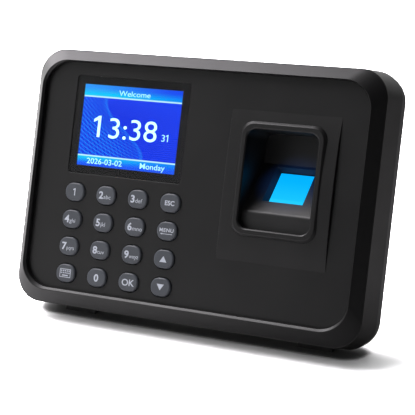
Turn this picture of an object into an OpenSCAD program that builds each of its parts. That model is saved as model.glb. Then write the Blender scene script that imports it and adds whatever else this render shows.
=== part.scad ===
// Desktop fingerprint time terminal, leaning back on a fold-out stand.
// The housing is drawn upright: x to the right, y from the crest of the front rim towards the
// back, z up from the lowest line of the housing. posed() then leans it back onto its feet.

/* [Housing] */
// Width of the recessed face panel
panel_w = 153; // [152:0.5:156]
// Height of the recessed face panel
panel_h = 102; // [101.5:0.5:104]
// Corner radius of every outline of the housing
corner_r = 12.5; // [10.5:0.5:13]
// Depth of the face panel below the rim's crest
panel_y = 2.75; // [2.5:0.05:3]
// Thickness of the face panel
panel_t = 2.4; // [2.2:0.05:2.5]
// Width of the steep wall between the face panel and the crest
crest_w = 1.2; // [1:0.1:1.4]
// Width of the front bevel at the sides
bevel_side = 6.3; // [6.1:0.1:7]
// Width of the front bevel at the top
bevel_top = 6.6; // [6.3:0.1:7]
// Width of the front bevel at the bottom
bevel_bottom = 7.6; // [7.3:0.1:8]
// Depth of the seam between the two covers
seam_y = 5.5; // [5.4:0.05:5.6]
// How far the sides flare out behind the seam
flare = 1.5; // [1.3:0.1:1.7]
// Depth of the widest line of the housing
widest_y = 22.5; // [21:0.5:24]
// Depth of the whole housing
depth = 32; // [32:0.1:32.6]
// Wall thickness of the covers
wall = 2.2; // [2:0.1:2.3]
// Angle by which the terminal leans back
lean = 16; // [15.5:0.1:16.5]

/* [Display] */
// Width of the picture
picture_w = 48.96; // [48:0.1:49.4]
// Height of the picture
picture_h = 36.72; // [36:0.1:37]
// Centre of the picture, to the left of the middle
picture_x = 32.9; // [32:0.1:33.5]
// Centre of the picture above the face panel's lower edge
picture_up = 75; // [74.5:0.1:75.5]
// Width of the display window
window_w = 56.6; // [56:0.1:57]
// Height of the display window
window_h = 44.4; // [44:0.1:44.6]

/* [Keypad] */
// Number of key columns
key_columns = 4; // [4:4]
// Number of key rows
key_rows = 4; // [4:4]
// Distance between key columns
key_pitch_x = 15.94; // [15.5:0.01:16]
// Distance between key rows
key_pitch_z = 12.31; // [12:0.01:12.4]
// Width of a key cap
key_w = 9.6; // [9:0.1:10]
// Height of a key cap
key_h = 8.2; // [7.8:0.1:8.4]
// Corner radius of a key cap
key_r = 3.8; // [3.4:0.1:3.85]
// Gap between a key cap and its hole
key_gap = 0.35; // [0.3:0.05:0.5]
// How far a key stands out of the face panel
key_proud = 1.2; // [1:0.05:1.4]
// Travel of a key
key_travel = 0.9; // [0.6:0.05:0.9]

/* [Finger pocket] */
// Centre of the finger pocket, to the right of the middle
pocket_x = 40.8; // [40.5:0.1:41]
// Centre of the finger pocket above the face panel's lower edge
pocket_up = 58.5; // [58:0.1:59]
// Width of the pocket's mouth
pocket_w = 32; // [31.5:0.1:32.4]
// Height of the pocket's mouth
pocket_h = 42.4; // [42:0.1:42.8]
// Corner radius of the pocket's mouth
pocket_r = 4; // [3:0.1:4.5]
// Depth of the pocket's back wall below the crest
pocket_y = 24.25; // [24:0.05:24.3]
// Width of the raised frame around the mouth
frame_w = 3.4; // [3:0.1:3.7]
// Height of the raised frame above the face panel
frame_h = 2.2; // [2:0.1:2.4]
// Width of the arched pad around the frame
pad_w = 49.4; // [48:0.1:50]
// Height of the arched pad
pad_h = 64.5; // [62:0.1:66]
// Rise of the arched pad above the face panel
pad_rise = 1.3; // [1:0.1:1.4]
// Slope of the finger ramp from the plane of the face
ramp_angle = 41.6; // [41:0.1:42]
// Height of the ramp's front lip above the pocket's lower edge
lip_up = 7.3; // [7:0.1:7.6]
// Depth of the ramp's front lip below the crest
lip_y = 4.75; // [4.6:0.05:4.8]
// Thickness of the ramp
ramp_t = 3; // [2.8:0.1:3]

/* [Stand] */
// Width of the stand's leg
leg_w = 40; // [36:0.5:40]
// Thickness of the stand's leg
leg_t = 3; // [2.8:0.05:3]
// Height of the stand's hinge above the housing's lowest line
hinge_z = 78; // [77:0.5:79]
// Length of the leg from the hinge to the floor
leg_l = 77; // [76.6:0.1:77.2]
// Radius of the hinge pin
pin_r = 1.25; // [1.1:0.01:1.3]
// Gap under the housing's lowest edge when it stands
foot_gap = 1; // [0.8:0.1:1.2]

/* [Hidden] */
$fn = 48;
KEYS = ["key_1", "key_2", "key_3", "key_esc", "key_4", "key_5", "key_6", "key_menu",
        "key_7", "key_8", "key_9", "key_up", "key_input", "key_0", "key_ok", "key_down"];

// Thickness of the discs and plates that a hull joins
skin = 0.02;
// Facets of the corners inside a hull
hull_fn = 64;
// Overshoot of a cut beyond the surface that it opens
over = 0.5;
// Heights of the face panel's edges
panel_z0 = flare + bevel_bottom;
panel_z1 = panel_z0 + panel_h;
panel_back = panel_y + panel_t;
// Gap between pieces that only meet
fit_gap = 0.04;
// The flat of the rim's crest
crest_flat = 0.3;
// The back edge: where its chamfer starts, how far the sides have drawn in there, its width
edge_y = depth - 2.5;
edge_in = 0.4;
edge_chamfer = 2.5;
// The front cover's tongue inside the rear cover
tongue_t = 1.3;
tongue_y = seam_y + 2;
tongue_gap = 0.1;

// How high the leaning housing's own frame lies above the floor
drop = edge_y * sin(lean) - edge_in * cos(lean) + foot_gap;

// Display stack, from the window to the backlight
picture_z = panel_z0 + picture_up;
window_t = 1.2;
window_sunk = 0.15;
tape_t = 0.2;
glass_w = 57.5;
glass_h = 41.4;
glass_t = 1.4;
module_w = 60.3;
module_h = 42.7;
module_t = 3.2;
module_y = panel_back + 0.15;

// Keypad stack, from the key flanges to the board
key_x0 = -55.92;
key_z0 = panel_z0 + 44.61;
flange_lip = 0.9;
flange_t = 0.9;
flange_y = panel_back + 0.2;
dome_y = flange_y + flange_t + key_travel + 0.1;
dome_r = 3.1;
mat_y = dome_y + 0.9;
mat_t = 0.8;
keypad_board_y = mat_y + mat_t;
keypad_board_t = 1.6;
keypad_board_box = [[-71, panel_z0 + 0.8], [7, panel_z0 + 52.3]];
keypad_posts = [for (x = [-68, 4], z = [panel_z0 + 9, panel_z0 + 46]) [x, z]];
keypad_post_r = 2.4;
screw_r = 1.2;
screw_head_r = 2.3;
screw_head_t = 1.4;
pilot_r = 1.25;

// Finger pocket, well and sensor; the ramp's own frame has y up the slope and z out of it
pocket_z = panel_z0 + pocket_up;
pocket_z0 = pocket_z - pocket_h / 2;
lip_z = pocket_z0 + lip_up;
lip_round = 2.4;
well_wall = 1.8;
well_flange = 3;
slope = 90 - ramp_angle;
ramp_rise = (pocket_y + well_wall - lip_y) / tan(ramp_angle);
recess_w = 18.6;
recess_y = [6.9, 27.9];
recess_draft = 1.5;
recess_end_draft = 0.3;
sensor_y = 17.4;
gasket_t = 0.5;
window_size = [17, 21.6, 1.5];
light_t = 1;
sensor_size = [20, 23.6, 2.7];
sensor_pcb_t = 0.8;
sensor_top = -ramp_t - gasket_t;
sensor_ear = 3.4;
sensor_screw_y = 9.5;

// Main board and what it carries
board_box = [[-74, 20], [18, 100]];
board_y = 17;
board_t = 1.6;
board_posts = [for (x = [-66, 13], z = [25, 95]) [x, z]];
board_post_r = 2.8;
usb_z = 72;
usb_size = [13.6, 5.7, 13.1];
usb_shell = 0.29;
port_x = -83.1;
port_gap = 0.15;
jack_z = 48.5;
jack_size = [11.4, 9, 9.6];
jack_r = 3.2;
jack_deep = 9.5;
cell_x = -48;
cell_z = 42;
cell_r = 10;
cell_t = 3.2;
speaker_x = -52;
speaker_z = 82;
speaker_r = 14;
speaker_t = 5;

// Case screws
case_posts = [for (x = [-75, 75], z = [panel_z0 + 6, panel_z1 - 6]) [x, z]];
case_post_r = 3.1;
case_post_end = 18;
case_head_y = 29;

// Wall-hanging keyholes
keyhole_x = 58;
keyhole_z = 98;
keyhole_r = 4;
keyhole_slot_r = 2;
keyhole_rise = 7;

// Stand: its well in the rear cover, and the leg's angles
inner_back = depth - wall;
hinge_y = depth - 0.1 - leg_t / 2;
hinge_high = drop - hinge_y * sin(lean) + hinge_z * cos(lean);
leg_lean = acos(hinge_high / leg_l);
leg_open = lean + leg_lean;
leg_gap = 0.4;
leg_heel = 4;
stand_floor_y = hinge_y - leg_t / 2 - 0.3;
stand_back_t = 1.7;
stand_side = 2.2;
pin_half = leg_w / 2 + 2;
pin_gap = 0.05;
pad_l = 6;
pad_t = 0.8;
foot_x = 58;
foot_w = 16;
foot_y = [23.5, 29.3];
foot_sunk = 1.1;

// Front and back of the whole object: the crest's lower edge and the stand's foot
front_end = (panel_z0 - crest_w - crest_flat) * sin(lean);
back_end = hinge_y * cos(lean) + hinge_z * sin(lean) + leg_t / 2 * cos(leg_lean)
    + leg_reach(leg_t / 2) * sin(leg_lean);
middle_y = (front_end + back_end) / 2;

// Depth-wise line of the floor, drawn in the leaning housing's own frame
function floor_z(y) = (y * sin(lean) - drop) / cos(lean);

// Distance from the hinge down to the floor at a place across the leg's thickness
function leg_reach(y) = (hinge_high + y * sin(leg_lean)) / cos(leg_lean);

// ---- shared shapes ----

module posed() {
    translate([0, -middle_y, drop]) rotate([-lean, 0, 0]) children();
}

// Extrudes a drawing in x and z from depth y0 back to depth y1
module slab(y0, y1) {
    translate([0, y1, 0]) rotate([90, 0, 0]) linear_extrude(y1 - y0) children();
}

module rounded_rect(w, h, r) {
    square([w - 2 * r, h], center = true);
    square([w, h - 2 * r], center = true);
    for (x = [-1, 1], z = [-1, 1])
        translate([x * (w / 2 - r), z * (h / 2 - r)]) circle(r);
}

// Outline of the housing, grown past the face panel at the sides, bottom and top
module outline(side, bottom, top, r = corner_r) {
    w = panel_w + 2 * side;
    h = panel_h + bottom + top;
    translate([0, panel_z0 - bottom + h / 2]) rounded_rect(w, h, r);
}

// Outline behind the seam: how much wider than at the seam it is
module body_outline(grow, r = corner_r) {
    outline(bevel_side + grow, bevel_bottom + grow, bevel_top + grow, r);
}

module at_points(points) {
    for (p = points) translate([p[0], 0, p[1]]) children();
}

// A round bar along y
module rod(y0, y1, r, r2 = undef) {
    translate([0, y0, 0]) rotate([-90, 0, 0])
        cylinder(h = y1 - y0, r1 = r, r2 = r2 == undef ? r : r2);
}

// A box from the low corner to the high corner of a rectangle in x and z
module board(box, y0, y1) {
    translate([box[0][0], y0, box[0][1]])
        cube([box[1][0] - box[0][0], y1 - y0, box[1][1] - box[0][1]]);
}

module key_place(column, row) {
    translate([key_x0 + column * key_pitch_x, 0, key_z0 - row * key_pitch_z]) children();
}

module every_key() {
    for (column = [0:key_columns - 1], row = [0:key_rows - 1]) key_place(column, row) children();
}

// The ramp's own frame: x across, y up the slope from the lip, z out of the ramp
module on_ramp() {
    translate([pocket_x, lip_y, lip_z]) rotate([slope, 0, 0]) children();
}

// A plate in the ramp's frame: its top lies at height z
module ramp_plate(w, l, z, t) {
    translate([-w / 2, sensor_y - l / 2, z - t]) cube([w, l, t]);
}

// ---- front cover ----

module rim() {
    difference() {
        union() {
            hull() {
                slab(0, skin) outline(crest_w + crest_flat, crest_w + crest_flat,
                                      crest_w + crest_flat, $fn = hull_fn);
                slab(seam_y - skin, seam_y) body_outline(0, $fn = hull_fn);
            }
            slab(seam_y - over, tongue_y) body_outline(-wall - tongue_gap);
        }
        hull() {
            slab(-skin, 0) outline(crest_w, crest_w, crest_w, $fn = hull_fn);
            slab(panel_y, panel_y + skin) outline(0, 0, 0, $fn = hull_fn);
        }
        slab(panel_back, tongue_y + over) body_outline(-wall - tongue_gap - tongue_t);
    }
}

// The pad is a slice of a large cylinder, with its side edges bevelled
module arched_pad() {
    arch_r = (pad_h * pad_h / 4 + pad_rise * pad_rise) / (2 * pad_rise);
    side = pad_rise + 0.2;
    translate([pocket_x, 0, pocket_z - 3.2]) intersection() {
        translate([0, panel_y - pad_rise + arch_r, 0]) rotate([0, 90, 0])
            cylinder(h = pad_w + 2, r = arch_r, center = true, $fn = 720);
        translate([0, 0, -pad_h / 2]) linear_extrude(pad_h)
            polygon([[-pad_w / 2 + side, panel_y - side], [pad_w / 2 - side, panel_y - side],
                     [pad_w / 2, panel_y], [pad_w / 2, panel_y + over],
                     [-pad_w / 2, panel_y + over], [-pad_w / 2, panel_y]]);
    }
}

module mouth_frame() {
    translate([pocket_x, 0, pocket_z]) {
        slab(panel_y - frame_h + 0.4, panel_y + over)
            rounded_rect(pocket_w + 2 * frame_w, pocket_h + 2 * frame_w, pocket_r + 2);
        slab(panel_y - frame_h, panel_y)
            rounded_rect(pocket_w + 2 * frame_w - 0.8, pocket_h + 2 * frame_w - 0.8, pocket_r + 1.6);
    }
}

module screw_post(y0, y1, r) {
    difference() {
        rod(y0, y1, r);
        rod(y0 + 2, y1 + over, pilot_r);
    }
}

module front_cover() {
    color([0.10, 0.10, 0.105]) difference() {
        union() {
            rim();
            arched_pad();
            mouth_frame();
            at_points(keypad_posts) screw_post(panel_back - over, keypad_board_y, keypad_post_r);
            at_points(case_posts) screw_post(panel_back - over, case_post_end, case_post_r);
        }
        translate([-picture_x, 0, picture_z]) {
            slab(panel_y - over, panel_y + window_sunk + window_t + tape_t)
                rounded_rect(window_w + 0.3, window_h + 0.3, 1.6);
            slab(panel_y, panel_back + over)
                rounded_rect(picture_w + 2.4, picture_h + 2.4, 1);
        }
        every_key() slab(panel_y - over, panel_back + over)
            rounded_rect(key_w + 2 * key_gap, key_h + 2 * key_gap, key_r + key_gap);
        translate([pocket_x, 0, pocket_z]) slab(-over, panel_back + over)
            rounded_rect(pocket_w, pocket_h, pocket_r);
    }
}

// ---- rear cover ----

module rear_shell() {
    difference() {
        hull() {
            slab(seam_y, seam_y + skin) body_outline(0, $fn = hull_fn);
            slab(widest_y, widest_y + skin) body_outline(flare, $fn = hull_fn);
            slab(edge_y, edge_y + skin) body_outline(flare - edge_in, $fn = hull_fn);
            slab(depth - skin, depth)
                body_outline(flare - edge_in - edge_chamfer, corner_r - 1, $fn = hull_fn);
        }
        hull() {
            slab(seam_y - skin, seam_y) body_outline(-wall, corner_r - 1, $fn = hull_fn);
            slab(widest_y, widest_y + skin) body_outline(flare - wall, corner_r - 1, $fn = hull_fn);
            slab(inner_back - skin, inner_back)
                body_outline(flare - wall - 1.4, corner_r - 2, $fn = hull_fn);
        }
    }
}

// The hinge's frame: x along the pin, the leg hanging down -z when it is folded
module at_hinge() {
    translate([0, hinge_y, hinge_z]) children();
}

// Inner walls of the recess that the folded leg lies in
module stand_box() {
    w = leg_w + 2 * leg_gap + 2 * stand_side;
    translate([-w / 2, stand_floor_y - stand_back_t, wall / 2])
        cube([w, depth - 1.2 - stand_floor_y + stand_back_t, hinge_z + leg_heel + 2]);
    translate([-w / 2, stand_floor_y - stand_back_t - 2, hinge_z - 4])
        cube([w, depth - 1.2 - stand_floor_y + stand_back_t + 2, leg_heel + 8]);
}

module stand_recess() {
    w = leg_w + 2 * leg_gap;
    translate([-w / 2, stand_floor_y, -over])
        cube([w, depth, hinge_z + leg_heel + leg_gap + over]);
    at_hinge() rotate([leg_open, 0, 0]) translate([-w / 2 + fit_gap, -leg_t / 2 - 0.06, -4])
        cube([w - 2 * fit_gap, leg_t + 1, leg_heel + 4 + leg_gap]);
    at_hinge() rotate([0, 90, 0])
        cylinder(h = 2 * (pin_half + 0.2), r = pin_r + pin_gap, center = true);
}

module keyhole() {
    rod(inner_back - over, depth + over, keyhole_r);
    translate([0, 0, keyhole_rise]) rod(inner_back - over, depth + over, keyhole_slot_r);
    translate([-keyhole_slot_r, inner_back - over, 0])
        cube([2 * keyhole_slot_r, wall + 2 * over, keyhole_rise]);
}

module grille() {
    for (z = [-8:4:8])
        translate([speaker_x, 0, speaker_z + z]) slab(inner_back - over, depth + over)
            rounded_rect(2 * sqrt(speaker_r * speaker_r - z * z) - 8, 1.6, 0.79);
}

module case_column() {
    difference() {
        rod(case_post_end, inner_back + 1, case_post_r + 1.4);
        rod(case_post_end - over, inner_back + 1 + over, pilot_r + 0.3);
        rod(case_post_end + 3, depth + over, screw_head_r + 0.3);
    }
}

// Cut in the left wall around a socket that stands on the main board
module port_cut(size, z) {
    translate([port_x - 3, board_y - size[1] - port_gap, z - size[2] / 2 - port_gap])
        cube([size[0], size[1] + 2 * port_gap, size[2] + 2 * port_gap]);
}

module rear_cover() {
    color([0.11, 0.108, 0.106]) difference() {
        union() {
            difference() {
                union() {
                    rear_shell();
                    intersection() {
                        stand_box();
                        slab(0, depth - 1) body_outline(flare - edge_in - edge_chamfer);
                    }
                }
                at_points(case_posts) rod(inner_back - over, depth + over, screw_head_r + 0.3);
            }
            at_points(case_posts) case_column();
            at_points(board_posts) difference() {
                rod(board_y + board_t, inner_back + 0.2, board_post_r);
                rod(board_y, inner_back - 6, pilot_r);
            }
        }
        stand_recess();
        for (x = [-1, 1]) {
            translate([x * keyhole_x, 0, keyhole_z]) keyhole();
            translate([x * foot_x - foot_w / 2, foot_y[0], -over])
                cube([foot_w, foot_y[1] - foot_y[0], foot_sunk + over]);
        }
        grille();
        port_cut(usb_size, usb_z);
        port_cut(jack_size, jack_z);
    }
}

// ---- display ----

module display_window() {
    color([0.05, 0.05, 0.06]) translate([-picture_x, 0, picture_z])
        slab(panel_y + window_sunk, panel_y + window_sunk + window_t)
            rounded_rect(window_w, window_h, 1.5);
}

module window_tape() {
    y = panel_y + window_sunk + window_t;
    color([0.02, 0.02, 0.02]) translate([-picture_x, 0, picture_z]) slab(y, y + tape_t)
        difference() {
            rounded_rect(window_w - 0.4, window_h - 0.4, 1.4);
            rounded_rect(picture_w + 2.6, picture_h + 2.6, 1);
        }
}

module lcd_glass() {
    color([0.10, 0.35, 0.85]) translate([-picture_x, 0, picture_z])
        slab(module_y, module_y + glass_t) square([glass_w, glass_h], center = true);
}

module backlight_frame() {
    color([0.85, 0.85, 0.83]) translate([-picture_x, 0, picture_z]) {
        slab(module_y + glass_t, module_y + module_t) square([module_w, module_h], center = true);
        slab(module_y, module_y + glass_t) difference() {
            square([module_w, module_h], center = true);
            square([glass_w, glass_h], center = true);
        }
    }
}

module display_flex() {
    y = module_y + module_t;
    color([0.75, 0.45, 0.12]) translate([-picture_x - 8, 0, 0]) {
        translate([0, y, picture_z - 12]) cube([16, 0.15, 10]);
        translate([0, y, picture_z - 12.15]) cube([16, keypad_board_y + keypad_board_t + 0.4 - y, 0.15]);
        translate([0, keypad_board_y + keypad_board_t + 0.25, panel_z0 + 48])
            cube([16, 0.15, picture_z - 12 - panel_z0 - 48]);
    }
}

// ---- finger pocket and sensor ----

// The ramp and its front wall, seen from the side; the lip between them is rounded
module ramp_profile() {
    top_y = pocket_y + well_wall;
    top_z = lip_z + ramp_rise;
    half_turn = (180 - ramp_angle) / 2;
    run = lip_round / tan(half_turn);
    down = ramp_t / sin(ramp_angle);
    front_t = 2.4;
    union() {
        polygon([[lip_y, pocket_z0 - 0.2], [lip_y, lip_z - run],
                 [lip_y + run * sin(ramp_angle), lip_z + run * cos(ramp_angle)],
                 [top_y, top_z], [top_y, top_z - down],
                 [lip_y + front_t, lip_z - down + front_t / tan(ramp_angle)],
                 [lip_y + front_t, pocket_z0 - 0.2]]);
        translate([lip_y + lip_round, lip_z - run]) circle(lip_round, $fn = 96);
    }
}

// Cuts the ramp's profile, drawn in y and z, across the pocket's width
module across(w) {
    translate([-w / 2, 0, 0]) rotate([90, 0, 90]) linear_extrude(w) children();
}

module sensor_recess() {
    y0 = recess_y[0];
    y1 = recess_y[1];
    deep = ramp_t + 0.2;
    x1 = recess_w / 2;
    intersection() {
        translate([0, y1 + 1, 0]) rotate([90, 0, 0]) linear_extrude(y1 - y0 + 2)
            polygon([[-x1 - 0.5, over], [x1 + 0.5, over], [x1, 0], [x1 - recess_draft, -deep],
                     [recess_draft - x1, -deep], [-x1, 0]]);
        rotate([90, 0, 90]) linear_extrude(recess_w + 2, center = true)
            polygon([[y0, over], [y1, over], [y1, 0], [y1 - recess_end_draft, -deep],
                     [y0 + recess_end_draft, -deep], [y0, 0]]);
    }
}

// Places of the screws that hold the sensor under the ramp, in the ramp's frame
module at_sensor_screws() {
    for (x = [-1, 1], y = [-1, 1])
        translate([x * (sensor_size[0] / 2 + 2), sensor_y + y * sensor_screw_y, 0]) children();
}

module well_shell() {
    w = pocket_w + 2 * well_wall;
    h = pocket_h + 2 * well_wall;
    translate([pocket_x, 0, pocket_z]) difference() {
        union() {
            slab(panel_back, pocket_y + well_wall) rounded_rect(w, h, pocket_r + well_wall);
            slab(panel_back, panel_back + 1.6)
                rounded_rect(w + 2 * well_flange, h + 2 * well_flange, pocket_r + well_wall);
        }
        slab(panel_back - over, pocket_y) rounded_rect(pocket_w, pocket_h, pocket_r);
    }
}

module finger_well() {
    post_z = sensor_top - sensor_size[2];
    color([0.07, 0.07, 0.075]) difference() {
        union() {
            difference() {
                well_shell();
                translate([pocket_x - pocket_w / 2, pocket_y - over, pocket_z0 + 1])
                    cube([pocket_w, 3, lip_z + ramp_rise - ramp_t / sin(ramp_angle) - pocket_z0 - 1]);
            }
            intersection() {
                translate([pocket_x, 0, 0]) across(pocket_w + well_wall) ramp_profile();
                translate([pocket_x, 0, pocket_z]) {
                    slab(0, panel_back + over)
                        rounded_rect(pocket_w - 2 * fit_gap, pocket_h - 2 * fit_gap, pocket_r);
                    slab(panel_back, pocket_y + well_wall)
                        rounded_rect(pocket_w + 0.2, pocket_h + 0.2, pocket_r + 0.1);
                }
            }
            on_ramp() at_sensor_screws() translate([0, 0, post_z])
                cylinder(h = -post_z - ramp_t + over, r = 1.7);
        }
        on_ramp() sensor_recess();
        on_ramp() at_sensor_screws() translate([0, 0, post_z - over])
            cylinder(h = gasket_t + sensor_size[2], r = 0.8);
    }
}

module sensor_gasket() {
    color([0.03, 0.03, 0.03]) on_ramp() difference() {
        ramp_plate(window_size[0] + 1.4, window_size[1] + 1.2, -ramp_t, gasket_t);
        ramp_plate(recess_w - 2 * recess_draft, recess_y[1] - recess_y[0] - 1, -ramp_t + over, 2);
    }
}

module sensor_window() {
    color([0.1, 0.7, 0.95]) on_ramp()
        ramp_plate(window_size[0], window_size[1], sensor_top, window_size[2]);
}

module sensor_light() {
    color([0.1, 0.3, 0.95]) on_ramp()
        ramp_plate(window_size[0], window_size[1], sensor_top - window_size[2], light_t);
}

module sensor_housing() {
    color([0.06, 0.06, 0.06]) on_ramp() difference() {
        ramp_plate(sensor_size[0], sensor_size[1], sensor_top, sensor_size[2]);
        ramp_plate(window_size[0], window_size[1], sensor_top + over, sensor_size[2] + 2 * over);
    }
}

module sensor_board() {
    top = sensor_top - sensor_size[2];
    color([0.05, 0.30, 0.15]) on_ramp() difference() {
        ramp_plate(sensor_size[0] + 2 * sensor_ear + 1, sensor_size[1] - 0.6, top, sensor_pcb_t);
        at_sensor_screws() translate([0, 0, top - sensor_pcb_t - over])
            cylinder(h = sensor_pcb_t + 2 * over, r = 1);
    }
}

module sensor_screws() {
    top = sensor_top - sensor_size[2] - sensor_pcb_t;
    color([0.75, 0.75, 0.76]) on_ramp() at_sensor_screws() translate([0, 0, top]) {
        cylinder(h = 3.2, r = 0.75);
        translate([0, 0, -0.5]) cylinder(h = 0.5, r = 1.4);
    }
}

// ---- keypad ----

module key_cap() {
    top = panel_y - key_proud;
    slab(top + 0.35, flange_y + 0.2) rounded_rect(key_w, key_h, key_r);
    slab(top, top + 0.4) rounded_rect(key_w - 0.8, key_h - 0.8, key_r - 0.4);
    slab(flange_y, flange_y + flange_t)
        rounded_rect(key_w + 2 * flange_lip, key_h + 2 * flange_lip, key_r);
}

module key(i) {
    color([0.28, 0.29, 0.32]) key_place(i % key_columns, floor(i / key_columns)) key_cap();
}

module keypad_mat() {
    color([0.55, 0.56, 0.58]) {
        difference() {
            board([[keypad_board_box[0][0] + 6, keypad_board_box[0][1]],
                   [keypad_board_box[1][0] - 6, keypad_board_box[1][1]]], mat_y, mat_y + mat_t);
            every_key() rod(mat_y + mat_t - 0.3, mat_y + mat_t + over, dome_r - 0.8);
        }
        every_key() rod(dome_y, mat_y + 0.1, dome_r - 0.5, dome_r);
    }
}

module keypad_board() {
    color([0.05, 0.30, 0.15]) difference() {
        board(keypad_board_box, keypad_board_y, keypad_board_y + keypad_board_t);
        at_points(keypad_posts) rod(keypad_board_y - over, keypad_board_y + keypad_board_t + over, 1.5);
    }
}

// A pan-head screw whose head rests at depth y and whose shank points forward
module screw(y, shank) {
    rod(y - shank, y + 0.1, screw_r);
    difference() {
        rod(y, y + screw_head_t, screw_head_r, screw_head_r - 0.5);
        translate([-1.6, y + screw_head_t - 0.7, -0.3]) cube([3.2, 1, 0.6]);
        translate([-0.3, y + screw_head_t - 0.7, -1.6]) cube([0.6, 1, 3.2]);
    }
}

module keypad_screws() {
    color([0.75, 0.75, 0.76]) at_points(keypad_posts) screw(keypad_board_y + keypad_board_t, 3.6);
}

// ---- main board ----

module main_board() {
    color([0.05, 0.30, 0.15]) difference() {
        board(board_box, board_y, board_y + board_t);
        at_points(board_posts) rod(board_y - over, board_y + board_t + over, 1.5);
    }
}

module board_chips() {
    color([0.06, 0.06, 0.065]) {
        board([[-44, 68], [-28, 84]], board_y - 1.4, board_y);
        board([[-20, 70], [-8, 79]], board_y - 1.2, board_y);
        board([[-44, 50], [-36, 58]], board_y - 1, board_y);
        board([[-26, 44], [-16, 51]], board_y - 1, board_y);
        board([[-4, 60], [4, 66]], board_y - 1.6, board_y);
    }
}

module board_sockets() {
    color([0.88, 0.86, 0.80]) {
        board([[-50, 30], [-30, 34]], board_y - 2.4, board_y);
        board([[9, 50], [13, 60]], board_y - 2.4, board_y);
        board([[-30, 88], [-22, 92]], board_y + board_t, board_y + board_t + 3);
    }
}

module board_screws() {
    color([0.75, 0.75, 0.76]) at_points(board_posts) mirror([0, 1, 0])
        screw(-board_y, 5);
}

// Flat cable between the keypad board and the main board
module board_cable() {
    y0 = keypad_board_y + keypad_board_t;
    y1 = board_y - 1.2;
    color([0.90, 0.90, 0.88]) translate([-49, 0, 0]) {
        translate([0, y0, 26]) cube([18, 0.2, 8]);
        translate([0, y0, 25.8]) cube([18, y1 - y0, 0.2]);
        translate([0, y1 - 0.2, 25.8]) cube([18, 0.2, 4]);
    }
}

module sensor_cable() {
    x0 = 13.2;
    x1 = pocket_x - pocket_w / 2 - well_wall - 1.6;
    color([0.90, 0.90, 0.88]) {
        translate([x0, board_y - 1.4, 52]) cube([x1 - x0, 0.2, 6]);
        translate([x1 - 0.2, board_y - 1.4, 52]) cube([0.2, 11.2, 6]);
        translate([x1 - 0.2, board_y + 9.6, 52]) cube([13, 0.2, 6]);
    }
}

module coin_cell_holder() {
    y0 = board_y + board_t;
    color([0.10, 0.10, 0.10]) translate([cell_x, 0, cell_z]) difference() {
        rod(y0, y0 + 3.4, cell_r + 1.6);
        rod(y0 + 0.8, y0 + 3.4 + over, cell_r + 0.1);
        translate([-4, y0 + 0.8, cell_r - 2]) cube([8, 4, 6]);
    }
}

module coin_cell() {
    y0 = board_y + board_t + 0.8;
    color([0.80, 0.80, 0.81]) translate([cell_x, 0, cell_z]) {
        rod(y0, y0 + cell_t - 0.4, cell_r);
        rod(y0 + cell_t - 0.5, y0 + cell_t, cell_r - 0.6);
    }
}

module speaker_basket() {
    y0 = inner_back - speaker_t;
    color([0.25, 0.25, 0.26]) translate([speaker_x, 0, speaker_z]) {
        difference() {
            rod(y0 + 2.6, inner_back, speaker_r);
            rod(y0 + 3.6, inner_back + over, speaker_r - 1.2);
        }
        rod(y0, y0 + 2.7, 7);
    }
}

module speaker_cone() {
    y1 = inner_back - 0.6;
    color([0.05, 0.05, 0.05]) translate([speaker_x, 0, speaker_z]) difference() {
        rod(y1 - 0.5, y1, speaker_r - 1.3);
        rod(y1 - 0.2, y1 + over, 6);
    }
}

module speaker_wires() {
    y0 = board_y + board_t + 3;
    color([0.7, 0.1, 0.1]) for (x = [-29, -23.6])
        translate([x, 0, 90]) {
            rod(y0, y0 + 3.6, 0.45);
            translate([0, y0 + 3.2, 0]) rotate([0, -90, 0])
                cylinder(h = x - speaker_x - 8.5, r = 0.45);
        }
}

module usb_socket() {
    color([0.78, 0.78, 0.79]) translate([port_x, board_y - usb_size[1], usb_z - usb_size[2] / 2])
        difference() {
            cube(usb_size);
            translate([-over, usb_shell, usb_shell])
                cube([usb_size[0] + over - 1, usb_size[1] - 2 * usb_shell, usb_size[2] - 2 * usb_shell]);
        }
}

module power_jack() {
    color([0.04, 0.04, 0.04]) translate([port_x, board_y - jack_size[1], jack_z - jack_size[2] / 2])
        difference() {
            cube(jack_size);
            translate([-over, jack_size[1] / 2, jack_size[2] / 2]) rotate([0, 90, 0])
                cylinder(h = jack_deep + over, r = jack_r);
        }
}

// ---- fasteners, feet and stand ----

module case_screws() {
    color([0.75, 0.75, 0.76]) at_points(case_posts) screw(case_post_end + 3, 12);
}

module rubber_feet() {
    gap = 0.05;
    y0 = foot_y[0] + gap;
    y1 = foot_y[1] - gap;
    color([0.03, 0.03, 0.03]) for (x = [-1, 1])
        translate([x * foot_x, 0, 0]) across(foot_w - 2 * gap)
            polygon([[y0, foot_sunk], [y1, foot_sunk], [y1, floor_z(y1)], [y0, floor_z(y0)]]);
}

// Everything on the leg is drawn hanging straight down from the hinge, then opened
module opened() {
    at_hinge() rotate([leg_open, 0, 0]) children();
}

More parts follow.
